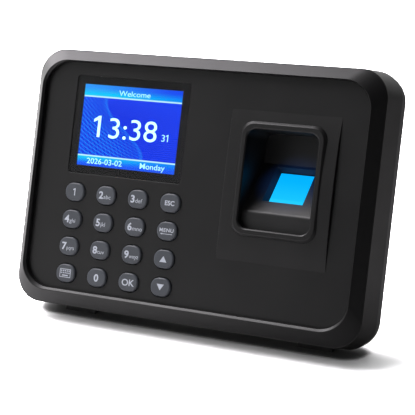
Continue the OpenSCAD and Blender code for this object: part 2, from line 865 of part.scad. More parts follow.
module stand_leg() {
    rib_t = 1;
    color([0.10, 0.10, 0.105]) opened() difference() {
        union() {
            across(leg_w) polygon([[-leg_t / 2, 0], [-leg_t / 2, leg_heel], [leg_t / 2 - 1, leg_heel],
                                   [leg_t / 2, leg_heel - 1], [leg_t / 2, 0]]);
            across(leg_w) polygon([[-leg_t / 2, 0.1], [leg_t / 2, 0.1],
                                   [leg_t / 2, -leg_reach(leg_t / 2) + pad_t],
                                   [-leg_t / 2, -leg_reach(-leg_t / 2) + pad_t]]);
        }
        rotate([0, 90, 0]) cylinder(h = leg_w + 2, r = pin_r, center = true);
        for (x = [-1, 1]) translate([x * leg_w / 4, 0, -leg_l / 2])
            translate([-leg_w / 4 + 3, -leg_t / 2 - over, -leg_l / 2 + 10])
                cube([leg_w / 2 - 5, leg_t - rib_t + over - 0.4, leg_l - 22]);
    }
}

module stand_pin() {
    color([0.75, 0.75, 0.76]) opened() rotate([0, 90, 0])
        cylinder(h = 2 * pin_half, r = pin_r, center = true);
}

module stand_pad() {
    color([0.03, 0.03, 0.03]) opened() across(leg_w - 2)
        polygon([[-leg_t / 2, -leg_reach(-leg_t / 2) + pad_t], [leg_t / 2, -leg_reach(leg_t / 2) + pad_t],
                 [leg_t / 2, -leg_reach(leg_t / 2)], [-leg_t / 2, -leg_reach(-leg_t / 2)]]);
}

posed() front_cover();
posed() rear_cover();
posed() display_window();
posed() window_tape();
posed() lcd_glass();
posed() backlight_frame();
posed() display_flex();
posed() finger_well();
posed() sensor_gasket();
posed() sensor_window();
posed() sensor_light();
posed() sensor_housing();
posed() sensor_board();
posed() sensor_screws();
posed() sensor_cable();
posed() keypad_mat();
posed() keypad_board();
posed() keypad_screws();
posed() main_board();
posed() board_chips();
posed() board_sockets();
posed() board_screws();
posed() board_cable();
posed() coin_cell_holder();
posed() coin_cell();
posed() speaker_basket();
posed() speaker_cone();
posed() speaker_wires();
posed() usb_socket();
posed() power_jack();
posed() case_screws();
posed() rubber_feet();
posed() stand_leg();
posed() stand_pin();
posed() stand_pad();
for (i = [0:len(KEYS) - 1])
    posed() key(i);
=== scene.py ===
"""Desktop fingerprint time terminal: the finished look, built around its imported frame.

Drawing is done in the housing's own upright frame, in millimetres: x to the right, y from the
crest of the front rim towards the back, z up. Lean turns that frame into the leaning one, in metres.
"""
import logging
import math
from dataclasses import dataclass, field
from enum import Enum
from typing import Callable, Optional, Sequence

import bmesh
import bpy
from mathutils import Matrix, Vector


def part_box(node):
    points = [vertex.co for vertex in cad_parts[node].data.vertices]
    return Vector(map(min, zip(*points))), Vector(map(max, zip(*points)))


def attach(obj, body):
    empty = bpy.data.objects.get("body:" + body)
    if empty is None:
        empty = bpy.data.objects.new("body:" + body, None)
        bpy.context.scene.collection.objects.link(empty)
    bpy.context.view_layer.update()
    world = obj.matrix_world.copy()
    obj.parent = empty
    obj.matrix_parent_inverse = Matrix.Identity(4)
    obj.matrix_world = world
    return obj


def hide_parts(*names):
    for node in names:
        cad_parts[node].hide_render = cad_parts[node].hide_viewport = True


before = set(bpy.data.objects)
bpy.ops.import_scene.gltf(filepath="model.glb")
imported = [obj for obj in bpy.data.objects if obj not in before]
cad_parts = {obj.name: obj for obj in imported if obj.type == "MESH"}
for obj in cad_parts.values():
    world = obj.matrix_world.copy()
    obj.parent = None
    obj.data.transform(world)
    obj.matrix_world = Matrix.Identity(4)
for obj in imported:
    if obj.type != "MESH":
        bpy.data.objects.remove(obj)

LOG = logging.getLogger("terminal")
MM = 0.001
Point = tuple[float, float, float]
Flat = tuple[float, float]
Colour = tuple[float, float, float]
Socket = bpy.types.NodeSocket
Node = bpy.types.Node
Tree = bpy.types.NodeTree
Material = bpy.types.Material
DUST_COLOUR: Colour = (0.30, 0.29, 0.28)
# Edges of drawn pieces stay sharp past the first angle. Edges of CAD nodes are softened past the
# second, and shaded smooth under the third. Vertices closer than DOUBLED metres are one vertex.
SHARP_ANGLE = math.radians(38)
BEVEL_ANGLE = math.radians(32)
GENTLE_ANGLE = math.radians(30)
DOUBLED = 1e-7


def grey(tone: float) -> Colour:
    """Returns a colour with no hue."""
    return tone, tone, tone


# ---------------------------------------------------------------- the leaning frame


@dataclass(frozen=True)
class Lean:
    """Turns the housing's upright millimetres into the object's metres.

    The display window's middle is known in both frames, so it ties them together.
    """

    angle: float = math.radians(16.0)
    window_middle: Point = (-32.9, 3.5, 84.1)

    def matrix(self) -> Matrix:
        """Returns the matrix from upright millimetres to leaning metres."""
        turn = Matrix.Rotation(-self.angle, 4, "X") @ Matrix.Scale(MM, 4)
        low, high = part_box("display_window")
        shift = (low + high) / 2 - turn @ Vector(self.window_middle)
        return Matrix.Translation(shift) @ turn

    def middle_of(self, node: str) -> Vector:
        """Returns the middle of a CAD node in upright millimetres.

        Args:
            node: The CAD node's name.
        """
        low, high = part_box(node)
        return self.matrix().inverted() @ ((low + high) / 2)


LEAN = Lean()


# ---------------------------------------------------------------- drawing in the plane


def rounded_line(points: Sequence[Flat], radii: Sequence[float], steps: int = 5) -> list[Flat]:
    """Rounds the inner corners of an open line.

    Args:
        points: The line's corners.
        radii: One radius for each corner; the first and last aren't rounded.
        steps: Segments in each rounded corner.

    Returns:
        The line's points with an arc at each rounded corner.
    """
    out: list[Flat] = [tuple(points[0])]
    for before, corner, after, radius in zip(points, points[1:], points[2:], radii[1:]):
        p = Vector(corner)
        u, v = (Vector(before) - p).normalized(), (Vector(after) - p).normalized()
        half = math.acos(max(-1.0, min(1.0, u.dot(v)))) / 2
        if radius <= 0 or half > math.radians(89.5):
            out.append(tuple(p))
            continue
        centre = p + (u + v).normalized() * radius / math.sin(half)
        a, b = p + u * radius / math.tan(half) - centre, p + v * radius / math.tan(half) - centre
        sweep = a.angle(b)
        for i in range(steps + 1):
            t = i / steps
            turned = (a * math.sin((1 - t) * sweep) + b * math.sin(t * sweep)) / math.sin(sweep)
            out.append(tuple(centre + turned))
    out.append(tuple(points[-1]))
    return out


def rounded_rect(width: float, height: float, radius: float, x: float = 0.0, z: float = 0.0,
                 steps: int = 12) -> list[Flat]:
    """Returns a rounded rectangle's outline, anticlockwise seen from the front.

    Args:
        width: Size along x.
        height: Size along z.
        radius: Corner radius.
        x: Middle along x.
        z: Middle along z.
        steps: Segments in each corner.
    """
    out: list[Flat] = []
    for turn, (sx, sz) in enumerate(((1, 1), (-1, 1), (-1, -1), (1, -1))):
        cx, cz = x + sx * (width / 2 - radius), z + sz * (height / 2 - radius)
        for i in range(steps + 1):
            angle = math.radians(90 * (turn + i / steps))
            out.append((cx + radius * math.cos(angle), cz + radius * math.sin(angle)))
    return out


def at_depth(outline: Sequence[Flat], y: float) -> list[Point]:
    """Returns an outline's points at depth y."""
    return [(x, y, z) for x, z in outline]


@dataclass
class Solid:
    """Vertices and faces of a mesh that is being drawn, in upright millimetres."""

    verts: list[Point] = field(default_factory=list)
    faces: list[tuple[int, ...]] = field(default_factory=list)

    def add(self, verts: Sequence[Point], faces: Sequence[Sequence[int]]) -> "Solid":
        """Adds vertices and the faces that join them, and returns the solid itself."""
        base = len(self.verts)
        self.verts.extend(tuple(v) for v in verts)
        self.faces.extend(tuple(base + i for i in f) for f in faces)
        return self

    def join(self, other: "Solid") -> "Solid":
        """Adds another solid's faces, and returns the solid itself."""
        return self.add(other.verts, other.faces)

    def loft(self, rings: Sequence[Sequence[Point]], closed: bool = False) -> "Solid":
        """Joins closed rings of equally many points into a skin.

        Args:
            rings: The rings, in order.
            closed: True if the last ring joins the first; otherwise both ends are capped.

        Returns:
            The solid itself.
        """
        n, last = len(rings[0]), len(rings) - 1
        faces: list[tuple[int, ...]] = []
        for a in range(len(rings) if closed else last):
            b = (a + 1) % len(rings)
            for i in range(n):
                j = (i + 1) % n
                faces.append((a * n + i, a * n + j, b * n + j, b * n + i))
        if not closed:
            faces.append(tuple(reversed(range(n))))
            faces.append(tuple(last * n + i for i in range(n)))
        return self.add([p for ring in rings for p in ring], faces)

    def plate(self, outer: Sequence[Flat], holes: Sequence[Sequence[Flat]], y0: float, y1: float,
              edge: float = 0.0) -> "Solid":
        """Adds a flat plate with holes, its front and back edges rounded.

        Args:
            outer: The plate's outline.
            holes: Outlines of the holes.
            y0: Depth of the front face.
            y1: Depth of the back face.
            edge: Radius of the rounded edges.

        Returns:
            The solid itself.
        """
        curve = bpy.data.curves.new("plate", "CURVE")
        curve.dimensions, curve.fill_mode = "2D", "BOTH"
        curve.extrude, curve.bevel_depth = (y1 - y0) / 2 - edge, edge
        curve.offset, curve.bevel_resolution = -edge, 2
        for loop in (outer, *holes):
            spline = curve.splines.new("POLY")
            spline.points.add(len(loop) - 1)
            for point, (x, z) in zip(spline.points, loop):
                point.co = (x, z, 0.0, 1.0)
            spline.use_cyclic_u = True
        middle = (y0 + y1) / 2
        return self.join(filled(curve, lambda at: (at.x, middle - at.z, at.y)))


def filled(curve: bpy.types.Curve, place: Callable[[Vector], Point]) -> Solid:
    """Turns a filled curve into a solid and removes the curve.

    Args:
        curve: The curve.
        place: Gives a point of the curve in upright millimetres.

    Returns:
        The solid.
    """
    maker = bpy.data.objects.new("maker", curve)
    bpy.context.scene.collection.objects.link(maker)
    mesh = bpy.data.meshes.new_from_object(maker.evaluated_get(bpy.context.evaluated_depsgraph_get()))
    solid = Solid().add([place(v.co) for v in mesh.vertices],
                        [tuple(p.vertices) for p in mesh.polygons])
    bpy.data.objects.remove(maker)
    bpy.data.curves.remove(curve)
    bpy.data.meshes.remove(mesh)
    return solid


# ---------------------------------------------------------------- shader tools


class Graph:
    """A node tree with short calls for adding nodes and joining them."""

    def __init__(self, tree: Tree) -> None:
        """Wraps a node tree."""
        self.tree = tree

    def add(self, kind: str, inputs: Optional[dict] = None, **settings: object) -> Node:
        """Adds a node.

        Args:
            kind: The node's type name.
            inputs: Socket name or index to a value, or to the output that feeds it.
            **settings: Properties of the node.

        Returns:
            The new node.
        """
        node = self.tree.nodes.new(kind)
        for name, value in settings.items():
            setattr(node, name, value)
        self.feed(node, inputs or {})
        return node

    def feed(self, node: Node, inputs: dict) -> None:
        """Sets a node's inputs, or joins them to the outputs that feed them.

        Args:
            node: The node.
            inputs: Socket name or index to a value or an output; a colour needs no alpha.
        """
        for name, value in inputs.items():
            socket = node.inputs[name]
            if isinstance(value, Socket):
                self.tree.links.new(value, socket)
            elif socket.type == "RGBA":
                socket.default_value = (*value, 1.0)
            else:
                socket.default_value = value

    def math(self, operation: str, *values: object) -> Socket:
        """Returns the output of a Math node on up to three values or outputs."""
        return self.add("ShaderNodeMath", dict(enumerate(values)), operation=operation).outputs[0]

    def off(self, value: object, centre: float) -> Socket:
        """Returns how far a value is from a centre."""
        return self.math("ABSOLUTE", self.math("SUBTRACT", value, centre))

    def dot(self, a: object, b: object) -> Socket:
        """Returns the dot product of two vectors."""
        return self.add("ShaderNodeVectorMath", {0: a, 1: b}, operation="DOT_PRODUCT").outputs["Value"]

    def mix(self, share: object, a: object, b: object) -> Socket:
        """Returns the output of a colour mix; share is 0 for a and 1 for b."""
        return self.add("ShaderNodeMix", {0: share, 6: a, 7: b}, data_type="RGBA").outputs[2]

    def spread(self, value: object, low: float, high: float) -> Socket:
        """Returns a value from 0 to 1 stretched to run from low to high."""
        return self.add("ShaderNodeMapRange", {0: value, 3: low, 4: high}).outputs[0]

    def step(self, value: object, start: float, end: float) -> Socket:
        """Returns a smooth rise from 0 at start to 1 at end."""
        return self.add("ShaderNodeMapRange", {0: value, 1: start, 2: end},
                        interpolation_type="SMOOTHSTEP").outputs[0]

    def noise(self, place: object, scale: object, detail: float = 2.0,
              rough: float = 0.5) -> Socket:
        """Returns a noise; scale is in waves per metre, detail and rough as the node has them."""
        return self.add("ShaderNodeTexNoise", {"Vector": place, "Scale": scale, "Detail": detail,
                                               "Roughness": rough}).outputs["Fac"]

    def bump(self, height: object, strength: float, depth: float) -> Socket:
        """Returns a normal bent by a height; depth is in metres."""
        return self.add("ShaderNodeBump", {"Height": height, "Strength": strength,
                                           "Distance": depth}).outputs[0]

    def seen(self) -> Socket:
        """Returns 1 on what the camera looks at directly, and 0 in reflections and light."""
        return self.add("ShaderNodeLightPath").outputs["Is Camera Ray"]


def group(name: str, knob: str, default: float, outputs: Sequence[str],
          build: Callable[[Graph, Socket, Socket], dict]) -> Tree:
    """Builds a shader node group once.

    Args:
        name: The group's name.
        knob: Name of its one number; its other input is a vector.
        default: Default of that number.
        outputs: Names of the outputs, all numbers.
        build: Draws the group from its two inputs and returns output name to socket.

    Returns:
        The node group.
    """
    if name in bpy.data.node_groups:
        return bpy.data.node_groups[name]
    tree = bpy.data.node_groups.new(name, "ShaderNodeTree")
    tree.interface.new_socket("Vector", in_out="INPUT", socket_type="NodeSocketVector")
    number = tree.interface.new_socket(knob, in_out="INPUT", socket_type="NodeSocketFloat")
    number.default_value = default
    for label in outputs:
        tree.interface.new_socket(label, in_out="OUTPUT", socket_type="NodeSocketFloat")
    graph = Graph(tree)
    source = graph.add("NodeGroupInput")
    graph.add("NodeGroupOutput", build(graph, source.outputs["Vector"], source.outputs[knob]))
    return tree


def grain_group() -> Tree:
    """Returns the moulded grain: a height, and a mask of slow colour variation."""

    def build(g: Graph, place: Socket, scale: Socket) -> dict:
        """Draws the group."""
        fine = g.add("ShaderNodeTexVoronoi", {"Vector": place, "Scale": scale}, feature="SMOOTH_F1")
        height = g.math("ADD", g.math("MULTIPLY", fine.outputs["Distance"], 0.6),
                        g.noise(place, scale, 3.0))
        return {"Height": height, "Patches": g.step(g.noise(place, 38.0, 4.0, 0.6), 0.3, 0.7)}

    return group("moulded_grain", "Scale", 4000.0, ("Height", "Patches"), build)


def dust_group() -> Tree:
    """Returns a mask of fine dust specks on what faces up."""

    def build(g: Graph, place: Socket, amount: Socket) -> dict:
        """Draws the group."""
        normal = g.add("ShaderNodeNewGeometry").outputs["Normal"]
        up = g.add("ShaderNodeSeparateXYZ", {0: normal}).outputs["Z"]
        specks = g.step(g.noise(place, 900.0, 5.0, 0.8), 0.56, 0.78)
        mask = g.math("MULTIPLY", g.step(up, 0.1, 0.95), specks)
        return {"Mask": g.math("MULTIPLY", mask, amount)}

    return group("settled_dust", "Amount", 0.1, ("Mask",), build)


def brushed_group() -> Tree:
    """Returns fine parallel scratches along x: a height and a mask."""

    def build(g: Graph, place: Socket, scale: Socket) -> dict:
        """Draws the group."""
        drawn = g.add("ShaderNodeMapping", {"Vector": place, "Scale": (0.04, 1.0, 1.0)})
        lines = g.noise(drawn.outputs[0], scale, 6.0)
        return {"Height": lines, "Mask": g.step(lines, 0.35, 0.65)}

    return group("drawn_metal", "Scale", 6000.0, ("Height", "Mask"), build)


def start_material(name: str) -> tuple[Material, Graph, Node, Socket]:
    """Starts a node material.

    Args:
        name: The material's name.

    Returns:
        The material, its graph, its Principled BSDF and the object's own coordinates.
    """
    material = bpy.data.materials.new(name)
    material.use_nodes = True
    graph = Graph(material.node_tree)
    shader = material.node_tree.nodes["Principled BSDF"]
    place = graph.add("ShaderNodeTexCoord").outputs["Object"]
    return material, graph, shader, place


@dataclass(frozen=True)
class Finish:
    """A material of one kind; each kind fills in the shader in its own way."""

    name: str

    def build(self) -> Material:
        """Returns the material."""
        material, g, shader, place = start_material(self.name)
        self.fill(g, shader, place)
        return material

    def fill(self, g: Graph, shader: Node, place: Socket) -> None:
        """Fills in the shader.

        Args:
            g: The material's graph.
            shader: Its Principled BSDF.
            place: The object's own coordinates.
        """
        raise NotImplementedError


@dataclass(frozen=True)
class Moulded(Finish):
    """A moulded plastic or rubber with a fine grain.

    Attributes:
        dark: Colour of the darker patches.
        light: Colour of the lighter patches.
        rough: Roughness.
        grain: Grains per metre.
        depth: Height of the grain in metres.
        dust: Share of dust on what faces up.
        coat: Weight of a glossy top layer.
        sheen: Weight of a soft sheen.
    """

    dark: Colour
    light: Colour
    rough: float = 0.4
    grain: float = 4000.0
    depth: float = 0.00001
    dust: float = 0.1
    coat: float = 0.0
    sheen: float = 0.0

    def fill(self, g: Graph, shader: Node, place: Socket) -> None:
        """Fills in the shader."""
        grain = g.add("ShaderNodeGroup", node_tree=grain_group())
        dust = g.add("ShaderNodeGroup", node_tree=dust_group())
        g.feed(grain, {"Vector": place, "Scale": self.grain})
        g.feed(dust, {"Vector": place, "Amount": self.dust})
        patches, mask = grain.outputs["Patches"], dust.outputs["Mask"]
        rough = g.spread(patches, self.rough - 0.03, self.rough + 0.03)
        g.feed(shader, {
            "Base Color": g.mix(mask, g.mix(patches, self.dark, self.light), DUST_COLOUR),
            "Roughness": g.math("ADD", rough, g.math("MULTIPLY", mask, 0.4)),
            "Normal": g.bump(grain.outputs["Height"], 0.35, self.depth),
            "Coat Weight": self.coat, "Coat Roughness": 0.12, "Sheen Weight": self.sheen,
        })


@dataclass(frozen=True)
class Metal(Finish):
    """A plated or rolled metal with fine drawn lines."""

    colour: Colour
    rough: float = 0.3
    lines: float = 6000.0

    def fill(self, g: Graph, shader: Node, place: Socket) -> None:
        """Fills in the shader."""
        drawn = g.add("ShaderNodeGroup", node_tree=brushed_group())
        g.feed(drawn, {"Vector": place, "Scale": self.lines})
        darker = tuple(c * 0.82 for c in self.colour)
        mask = drawn.outputs["Mask"]
        g.feed(shader, {
            "Base Color": g.mix(mask, darker, self.colour), "Metallic": 1.0,
            "Roughness": g.spread(mask, self.rough - 0.06, self.rough + 0.08),
            "Normal": g.bump(drawn.outputs["Height"], 0.2, 0.00001),
        })


@dataclass(frozen=True)
class CircuitBoard(Finish):
    """Green solder mask over copper tracks, with rows of tinned pads."""

    name: str = "green_board"
    mask: Colour = (0.008, 0.085, 0.03)
    over_copper: Colour = (0.015, 0.15, 0.05)
    tin: Colour = (0.62, 0.62, 0.58)

    def fill(self, g: Graph, shader: Node, place: Socket) -> None:
        """Fills in the shader."""
        tracks = g.add("ShaderNodeTexBrick", {"Vector": place, "Color1": grey(1.0),
                                              "Color2": grey(0.8), "Mortar": grey(0.0),
                                              "Scale": 260.0, "Mortar Size": 0.035})
        pads = g.add("ShaderNodeTexVoronoi", {"Vector": place, "Scale": 420.0},
                     distance="CHEBYCHEV", feature="F1")
        cover = g.add("ShaderNodeRGBToBW", {0: tracks.outputs["Color"]}).outputs[0]
        pad = g.math("LESS_THAN", pads.outputs["Distance"], 0.12)
        g.feed(shader, {
            "Base Color": g.mix(pad, g.mix(cover, self.over_copper, self.mask), self.tin),
            "Roughness": g.spread(pad, 0.28, 0.4),
            "Normal": g.bump(g.math("SUBTRACT", pad, cover), 0.3, 0.00003),
        })


@dataclass(frozen=True)
class FlatCable(Finish):
    """A film with parallel conductors, which run across x."""

    film: Colour
    line: Colour
    pitch: float = 0.001

    def fill(self, g: Graph, shader: Node, place: Socket) -> None:
        """Fills in the shader."""
        across = g.add("ShaderNodeSeparateXYZ", {0: place})
        turn = g.math("ADD", across.outputs["X"], across.outputs["Z"])
        wave = g.math("SINE", g.math("MULTIPLY", turn, 2 * math.pi / self.pitch))
        line = g.step(wave, 0.0, 0.5)
        g.feed(shader, {"Base Color": g.mix(line, self.film, self.line),
                        "Roughness": g.spread(line, 0.45, 0.3), "Normal": g.bump(line, 0.4, 0.00004)})


@dataclass(frozen=True)
class Paint(Finish):
    """Printed ink or a lit mark: flat in colour, with a faint speckle."""

    colour: Colour
    glow: float = 0.0
    rough: float = 0.5
    shine: float = 0.5

    def fill(self, g: Graph, shader: Node, place: Socket) -> None:
        """Fills in the shader."""
        dim = tuple(c * 0.9 for c in self.colour)
        ink = g.mix(g.step(g.noise(place, 7000.0), 0.35, 0.65), dim, self.colour)
        g.feed(shader, {"Base Color": ink, "Roughness": self.rough, "Specular IOR Level": self.shine})
        if self.glow:
            g.feed(shader, {"Emission Color": ink, "Emission Strength": self.glow})


@dataclass(frozen=True)
class ClearPane(Finish):
    """Clear plastic or glass, nearly without haze."""

    tint: Colour = (1.0, 1.0, 1.0)
    index: float = 1.3

    def fill(self, g: Graph, shader: Node, place: Socket) -> None:
        """Fills in the shader."""
        haze = g.noise(place, 150.0, 3.0)
        paler = tuple(c * 0.97 for c in self.tint)
        g.feed(shader, {"Base Color": g.mix(haze, paler, self.tint), "IOR": self.index,
                        "Roughness": g.spread(haze, 0.0, 0.03), "Transmission Weight": 1.0})


@dataclass(frozen=True)
class Picture(Finish):
    """The lit picture: two bars, a blue ground and a sheaf of fine curved lines.

    Attributes:
        width: Width of the picture in metres.
        height: Height of the picture in metres.
        header: Share of the height under the top bar.
        footer: Share of the height over the bottom bar.
        glow: Strength of the light.
        sheaf_lines: How many falling and how many steep lines fit the picture.
        rows: How many rows of light the ground has.
    """

    name: str = "lit_picture"
    width: float = 48.96 * MM
    height: float = 36.72 * MM
    header: float = 0.85
    footer: float = 0.125
    glow: float = 1.0
    sheaf_lines: tuple[int, int] = (19, 26)
    rows: int = 40
    deep: Colour = (0.006, 0.035, 0.80)
    violet: Colour = (0.016, 0.075, 1.0)
    sky: Colour = (0.012, 0.25, 1.0)
    cyan: Colour = (0.0, 0.63, 1.0)
    white: Colour = (0.55, 0.95, 1.0)

    def place(self, g: Graph, place: Socket) -> tuple[Socket, ...]:
        """Returns how far across and how far up the picture a point is, from 0 to 1.

        Args:
            g: The material's graph.
            place: The object's own coordinates.
        """
        low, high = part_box("display_window")
        middle = (low + high) / 2
        up = Vector((0.0, math.sin(LEAN.angle), math.cos(LEAN.angle)))
        from_middle = g.add("ShaderNodeVectorMath", {0: place, 1: middle}, operation="SUBTRACT")
        found = []
        for direction, size in ((Vector((1, 0, 0)), self.width), (up, self.height)):
            along = g.dot(from_middle.outputs[0], direction)
            found.append(g.math("MULTIPLY_ADD", along, 1 / size, 0.5))
        return tuple(found)

    def sheaf(self, g: Graph, u: Socket, v: Socket) -> Socket:
        """Returns the sheaf of fine curved lines.

        Args:
            g: The material's graph.
            u: How far across.
            v: How far up.
        """
        bow = g.math("MULTIPLY_ADD", g.step(v, 0.80, 0.14), 0.42, 0.25)
        edge = g.math("SUBTRACT", u, bow)
        inside = g.step(edge, 0.008, -0.008)
        falling = g.math("MULTIPLY_ADD", u, g.math("MULTIPLY_ADD", v, 0.9, 0.55), v)
        steep = g.math("MULTIPLY_ADD", v, 0.35, u)
        first, second = (g.math("SINE", g.math("MULTIPLY", along, math.tau * count))
                         for along, count in zip((falling, steep), self.sheaf_lines))
        woven = g.math("MULTIPLY_ADD", g.step(second, -0.6, 1.0), 0.45, g.step(first, -0.3, 0.9))
        fade = g.math("MULTIPLY_ADD", g.step(edge, -0.02, -0.35), 0.35, 0.25)
        rim = g.math("MULTIPLY", g.step(edge, -0.06, 0.0), inside)
        lines = g.math("MULTIPLY", g.math("MULTIPLY", woven, inside), fade)
        return g.math("MULTIPLY_ADD", rim, 0.4, lines)

    def ground(self, g: Graph, u: Socket, v: Socket) -> Socket:
        """Returns the blue ground with its rows of light and its sheaf of lines.

        Args:
            g: The material's graph.
            u: How far across.
            v: How far up.
        """
        row = g.math("SINE", g.math("MULTIPLY", v, math.tau * self.rows))
        rows = g.math("MULTIPLY", g.step(row, 0.3, 1.0), g.step(u, 0.3, 1.0))
        plain = g.mix(rows, self.deep, self.violet)
        paler = g.mix(g.math("MULTIPLY", g.step(v, 0.55, 0.9), 0.35), plain, self.violet)
        return g.mix(self.sheaf(g, u, v), paler, self.sky)

    def fill(self, g: Graph, shader: Node, place: Socket) -> None:
        """Fills in the shader."""
        u, v = self.place(g, place)
        bar = g.mix(g.step(u, 0.0, 1.0), (0.03, 0.33, 1.0), (0.01, 0.07, 0.9))
        top = g.mix(g.step(v, 0.97, 0.86), bar, g.mix(g.step(u, 0.2, 1.1), self.cyan, (0.0, 0.3, 1.0)))
        foot = g.mix(g.step(v, 0.02, 0.12), (0.012, 0.10, 0.95),
                     g.mix(g.step(u, 0.0, 1.0), self.cyan, (0.0, 0.26, 1.0)))
        shown = g.mix(g.step(v, self.header - 0.002, self.header + 0.002), self.ground(g, u, v), top)
        shown = g.mix(g.step(v, self.footer + 0.002, self.footer - 0.002), shown, foot)
        for level in (self.header + 0.004, self.footer):
            shown = g.mix(g.step(g.off(v, level), 0.013, 0.004), shown, self.white)
        across, up = (g.math("LESS_THAN", g.off(way, 0.5), 0.5) for way in (u, v))
        shown = g.mix(g.math("MULTIPLY", across, up), grey(0.0), shown)
        g.feed(shader, {"Emission Color": shown, "Emission Strength": self.glow, "Roughness": 0.3,
                        "Base Color": (0.002, 0.002, 0.003), "Specular IOR Level": 0.0})


@dataclass(frozen=True)
class SensorGlow(Finish):
    """The lit face of the fingerprint sensor, brighter towards its lower end, with dark side edges.

    Attributes:
        top: Colour at the upper end.
        bottom: Colour at the lower end.
        edge: Colour of the brightest band.
        band: Where that band starts and is full, as shares of the height.
        margin: Width of the dark side edges in metres.
        spill: Share of the light that reaches other things.
        glow: Strength of the light.
    """

    name: str = "sensor_glow"
    top: Colour = (0.0, 0.225, 0.55)
    bottom: Colour = (0.006, 0.30, 0.55)
    edge: Colour = (0.012, 0.34, 0.55)
    band: Flat = (0.34, 0.30)
    margin: float = 0.65 * MM
    spill: float = 0.45
    glow: float = 2.0

    def fill(self, g: Graph, shader: Node, place: Socket) -> None:
        """Fills in the shader."""
        low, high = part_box("sensor_window")
        split = g.add("ShaderNodeSeparateXYZ", {0: place})
        height, tall = split.outputs["Z"], high.z - low.z
        shown = g.mix(g.step(height, high.z, low.z), self.top, self.bottom)
        band = g.step(height, *(low.z + tall * share for share in self.band))
        shown = g.mix(g.math("MULTIPLY", band, 0.5), shown, self.edge)
        rim = (high.x - low.x) / 2 - self.margin
        off = g.off(split.outputs["X"], (low.x + high.x) / 2)
        shown = g.mix(g.step(off, rim, rim + 0.1 * MM), shown, (0.0, 0.004, 0.02))
        shown = g.mix(g.spread(g.seen(), self.spill, 1.0), grey(0.0), shown)
        g.feed(shader, {"Emission Color": shown, "Emission Strength": self.glow,
                        "Base Color": (0.0, 0.02, 0.05), "Roughness": 0.12})


@dataclass(frozen=True)
class SpillGlowPlastic(Moulded):
    """The well's plastic, with a painted blue glow that stands in for the light the sensor spills round
    it.

    Attributes:
        haze: Colour of the painted glow where it is strongest.
        shift: From the sensor's middle to the painted glow's middle, in metres.
        near: Distance from the painted glow's middle within which it is full, in metres.
        far: Distance at which it has gone, in metres.
    """

    haze: Colour = (0.003, 0.012, 0.045)
    shift: Point = (0.002, 0.0, 0.0)
    near: float = 0.007
    far: float = 0.019

    def fill(self, g: Graph, shader: Node, place: Socket) -> None:
        """Fills in the shader."""
        super().fill(g, shader, place)
        # Painted light: an emission that fades with distance from the sensor stands in for its blue
        # light spilling onto the well.
        low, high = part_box("sensor_window")
        middle = (low + high) / 2 + Vector(self.shift)
        away = g.add("ShaderNodeVectorMath", {0: place, 1: middle}, operation="DISTANCE")
        share = g.step(away.outputs["Value"], self.far, self.near)
        g.feed(shader, {"Emission Color": g.mix(share, grey(0.0), self.haze), "Emission Strength": 1.0})


def finishes() -> dict[str, Material]:
    """Returns every material by its name."""
    made: list[Finish] = [
        Moulded("front_plastic", (0.0040, 0.0039, 0.0042), (0.0052, 0.0050, 0.0053), 0.40, 5200.0,
                0.000008, 0.03),
        Moulded("rear_plastic", (0.015, 0.0139, 0.0134), (0.019, 0.0178, 0.0171),
                0.42, 3000.0, 0.00002, 0.04),
        SpillGlowPlastic("well_plastic", (0.0110, 0.0110, 0.0115), (0.014, 0.014, 0.0145), 0.42, 5200.0,
                     0.000008, 0.02),
        Moulded("key_plastic", (0.068, 0.075, 0.088), (0.079, 0.087, 0.101),
                0.45, 6000.0, 0.000006, 0.02),
        Moulded("stand_plastic", (0.016, 0.016, 0.017), (0.021, 0.021, 0.022),
                0.45, 3000.0, 0.00002, 0.04),
        Moulded("foot_rubber", grey(0.020), grey(0.030), 0.75, 2500.0, 0.00003, 0.12, 0.0, 0.2),
        Moulded("seal_rubber", grey(0.006), grey(0.01), 0.7, 3500.0, 0.00001, 0.0),
        Moulded("black_film", grey(0.006), grey(0.008), 0.6, 5000.0, 0.000004, 0.0),
        Moulded("white_plastic", (0.72, 0.72, 0.70), (0.80, 0.80, 0.78),
                0.35, 5000.0, 0.000005, 0.0, 0.1),
        Moulded("mat_silicone", (0.30, 0.31, 0.33), (0.38, 0.39, 0.41),
                0.6, 3000.0, 0.00001, 0.0, 0.0, 0.2),
        Moulded("black_epoxy", grey(0.012), grey(0.02), 0.55, 6000.0, 0.00001, 0.0),
        Moulded("ivory_nylon", (0.70, 0.66, 0.56), (0.78, 0.74, 0.64), 0.5, 4000.0, 0.00001, 0.0),
        Moulded("black_nylon", grey(0.010), grey(0.016), 0.42, 4000.0, 0.00001, 0.0),
        Moulded("wire_red", (0.38, 0.015, 0.015), (0.48, 0.02, 0.02), 0.5, 5000.0, 0.000005, 0.0),
        Moulded("white_plug", (0.75, 0.75, 0.74), (0.82, 0.82, 0.81), 0.4, 5000.0, 0.000005, 0.0),
        Metal("plated_steel", (0.62, 0.62, 0.63), 0.28),
        Metal("rolled_steel", (0.70, 0.70, 0.71), 0.22, 9000.0),
        Metal("basket_steel", (0.25, 0.25, 0.26), 0.45, 3000.0),
        Metal("gold_contact", (0.83, 0.62, 0.25), 0.22, 8000.0),
        CircuitBoard(),
        FlatCable("white_flat_cable", (0.75, 0.75, 0.73), (0.60, 0.60, 0.62)),
        FlatCable("amber_flex", (0.45, 0.20, 0.03), (0.62, 0.32, 0.08), 0.0008),
        Paint("key_ink", (0.62, 0.66, 0.74)),
        Paint("window_print", (0.006, 0.006, 0.0065), 0.0, 0.5, 0.25),
        Paint("lit_text", (0.58, 0.97, 1.0), 1.0),
        Paint("lit_small_text", (0.35, 0.75, 1.0), 1.0),
        Paint("blue_diffuser", (0.02, 0.25, 1.0), 1.0),
        ClearPane("window_pane", grey(1.0), 1.18),
        Picture(),
        SensorGlow(),
    ]
    return {finish.name: finish.build() for finish in made}


# ---------------------------------------------------------------- the workshop


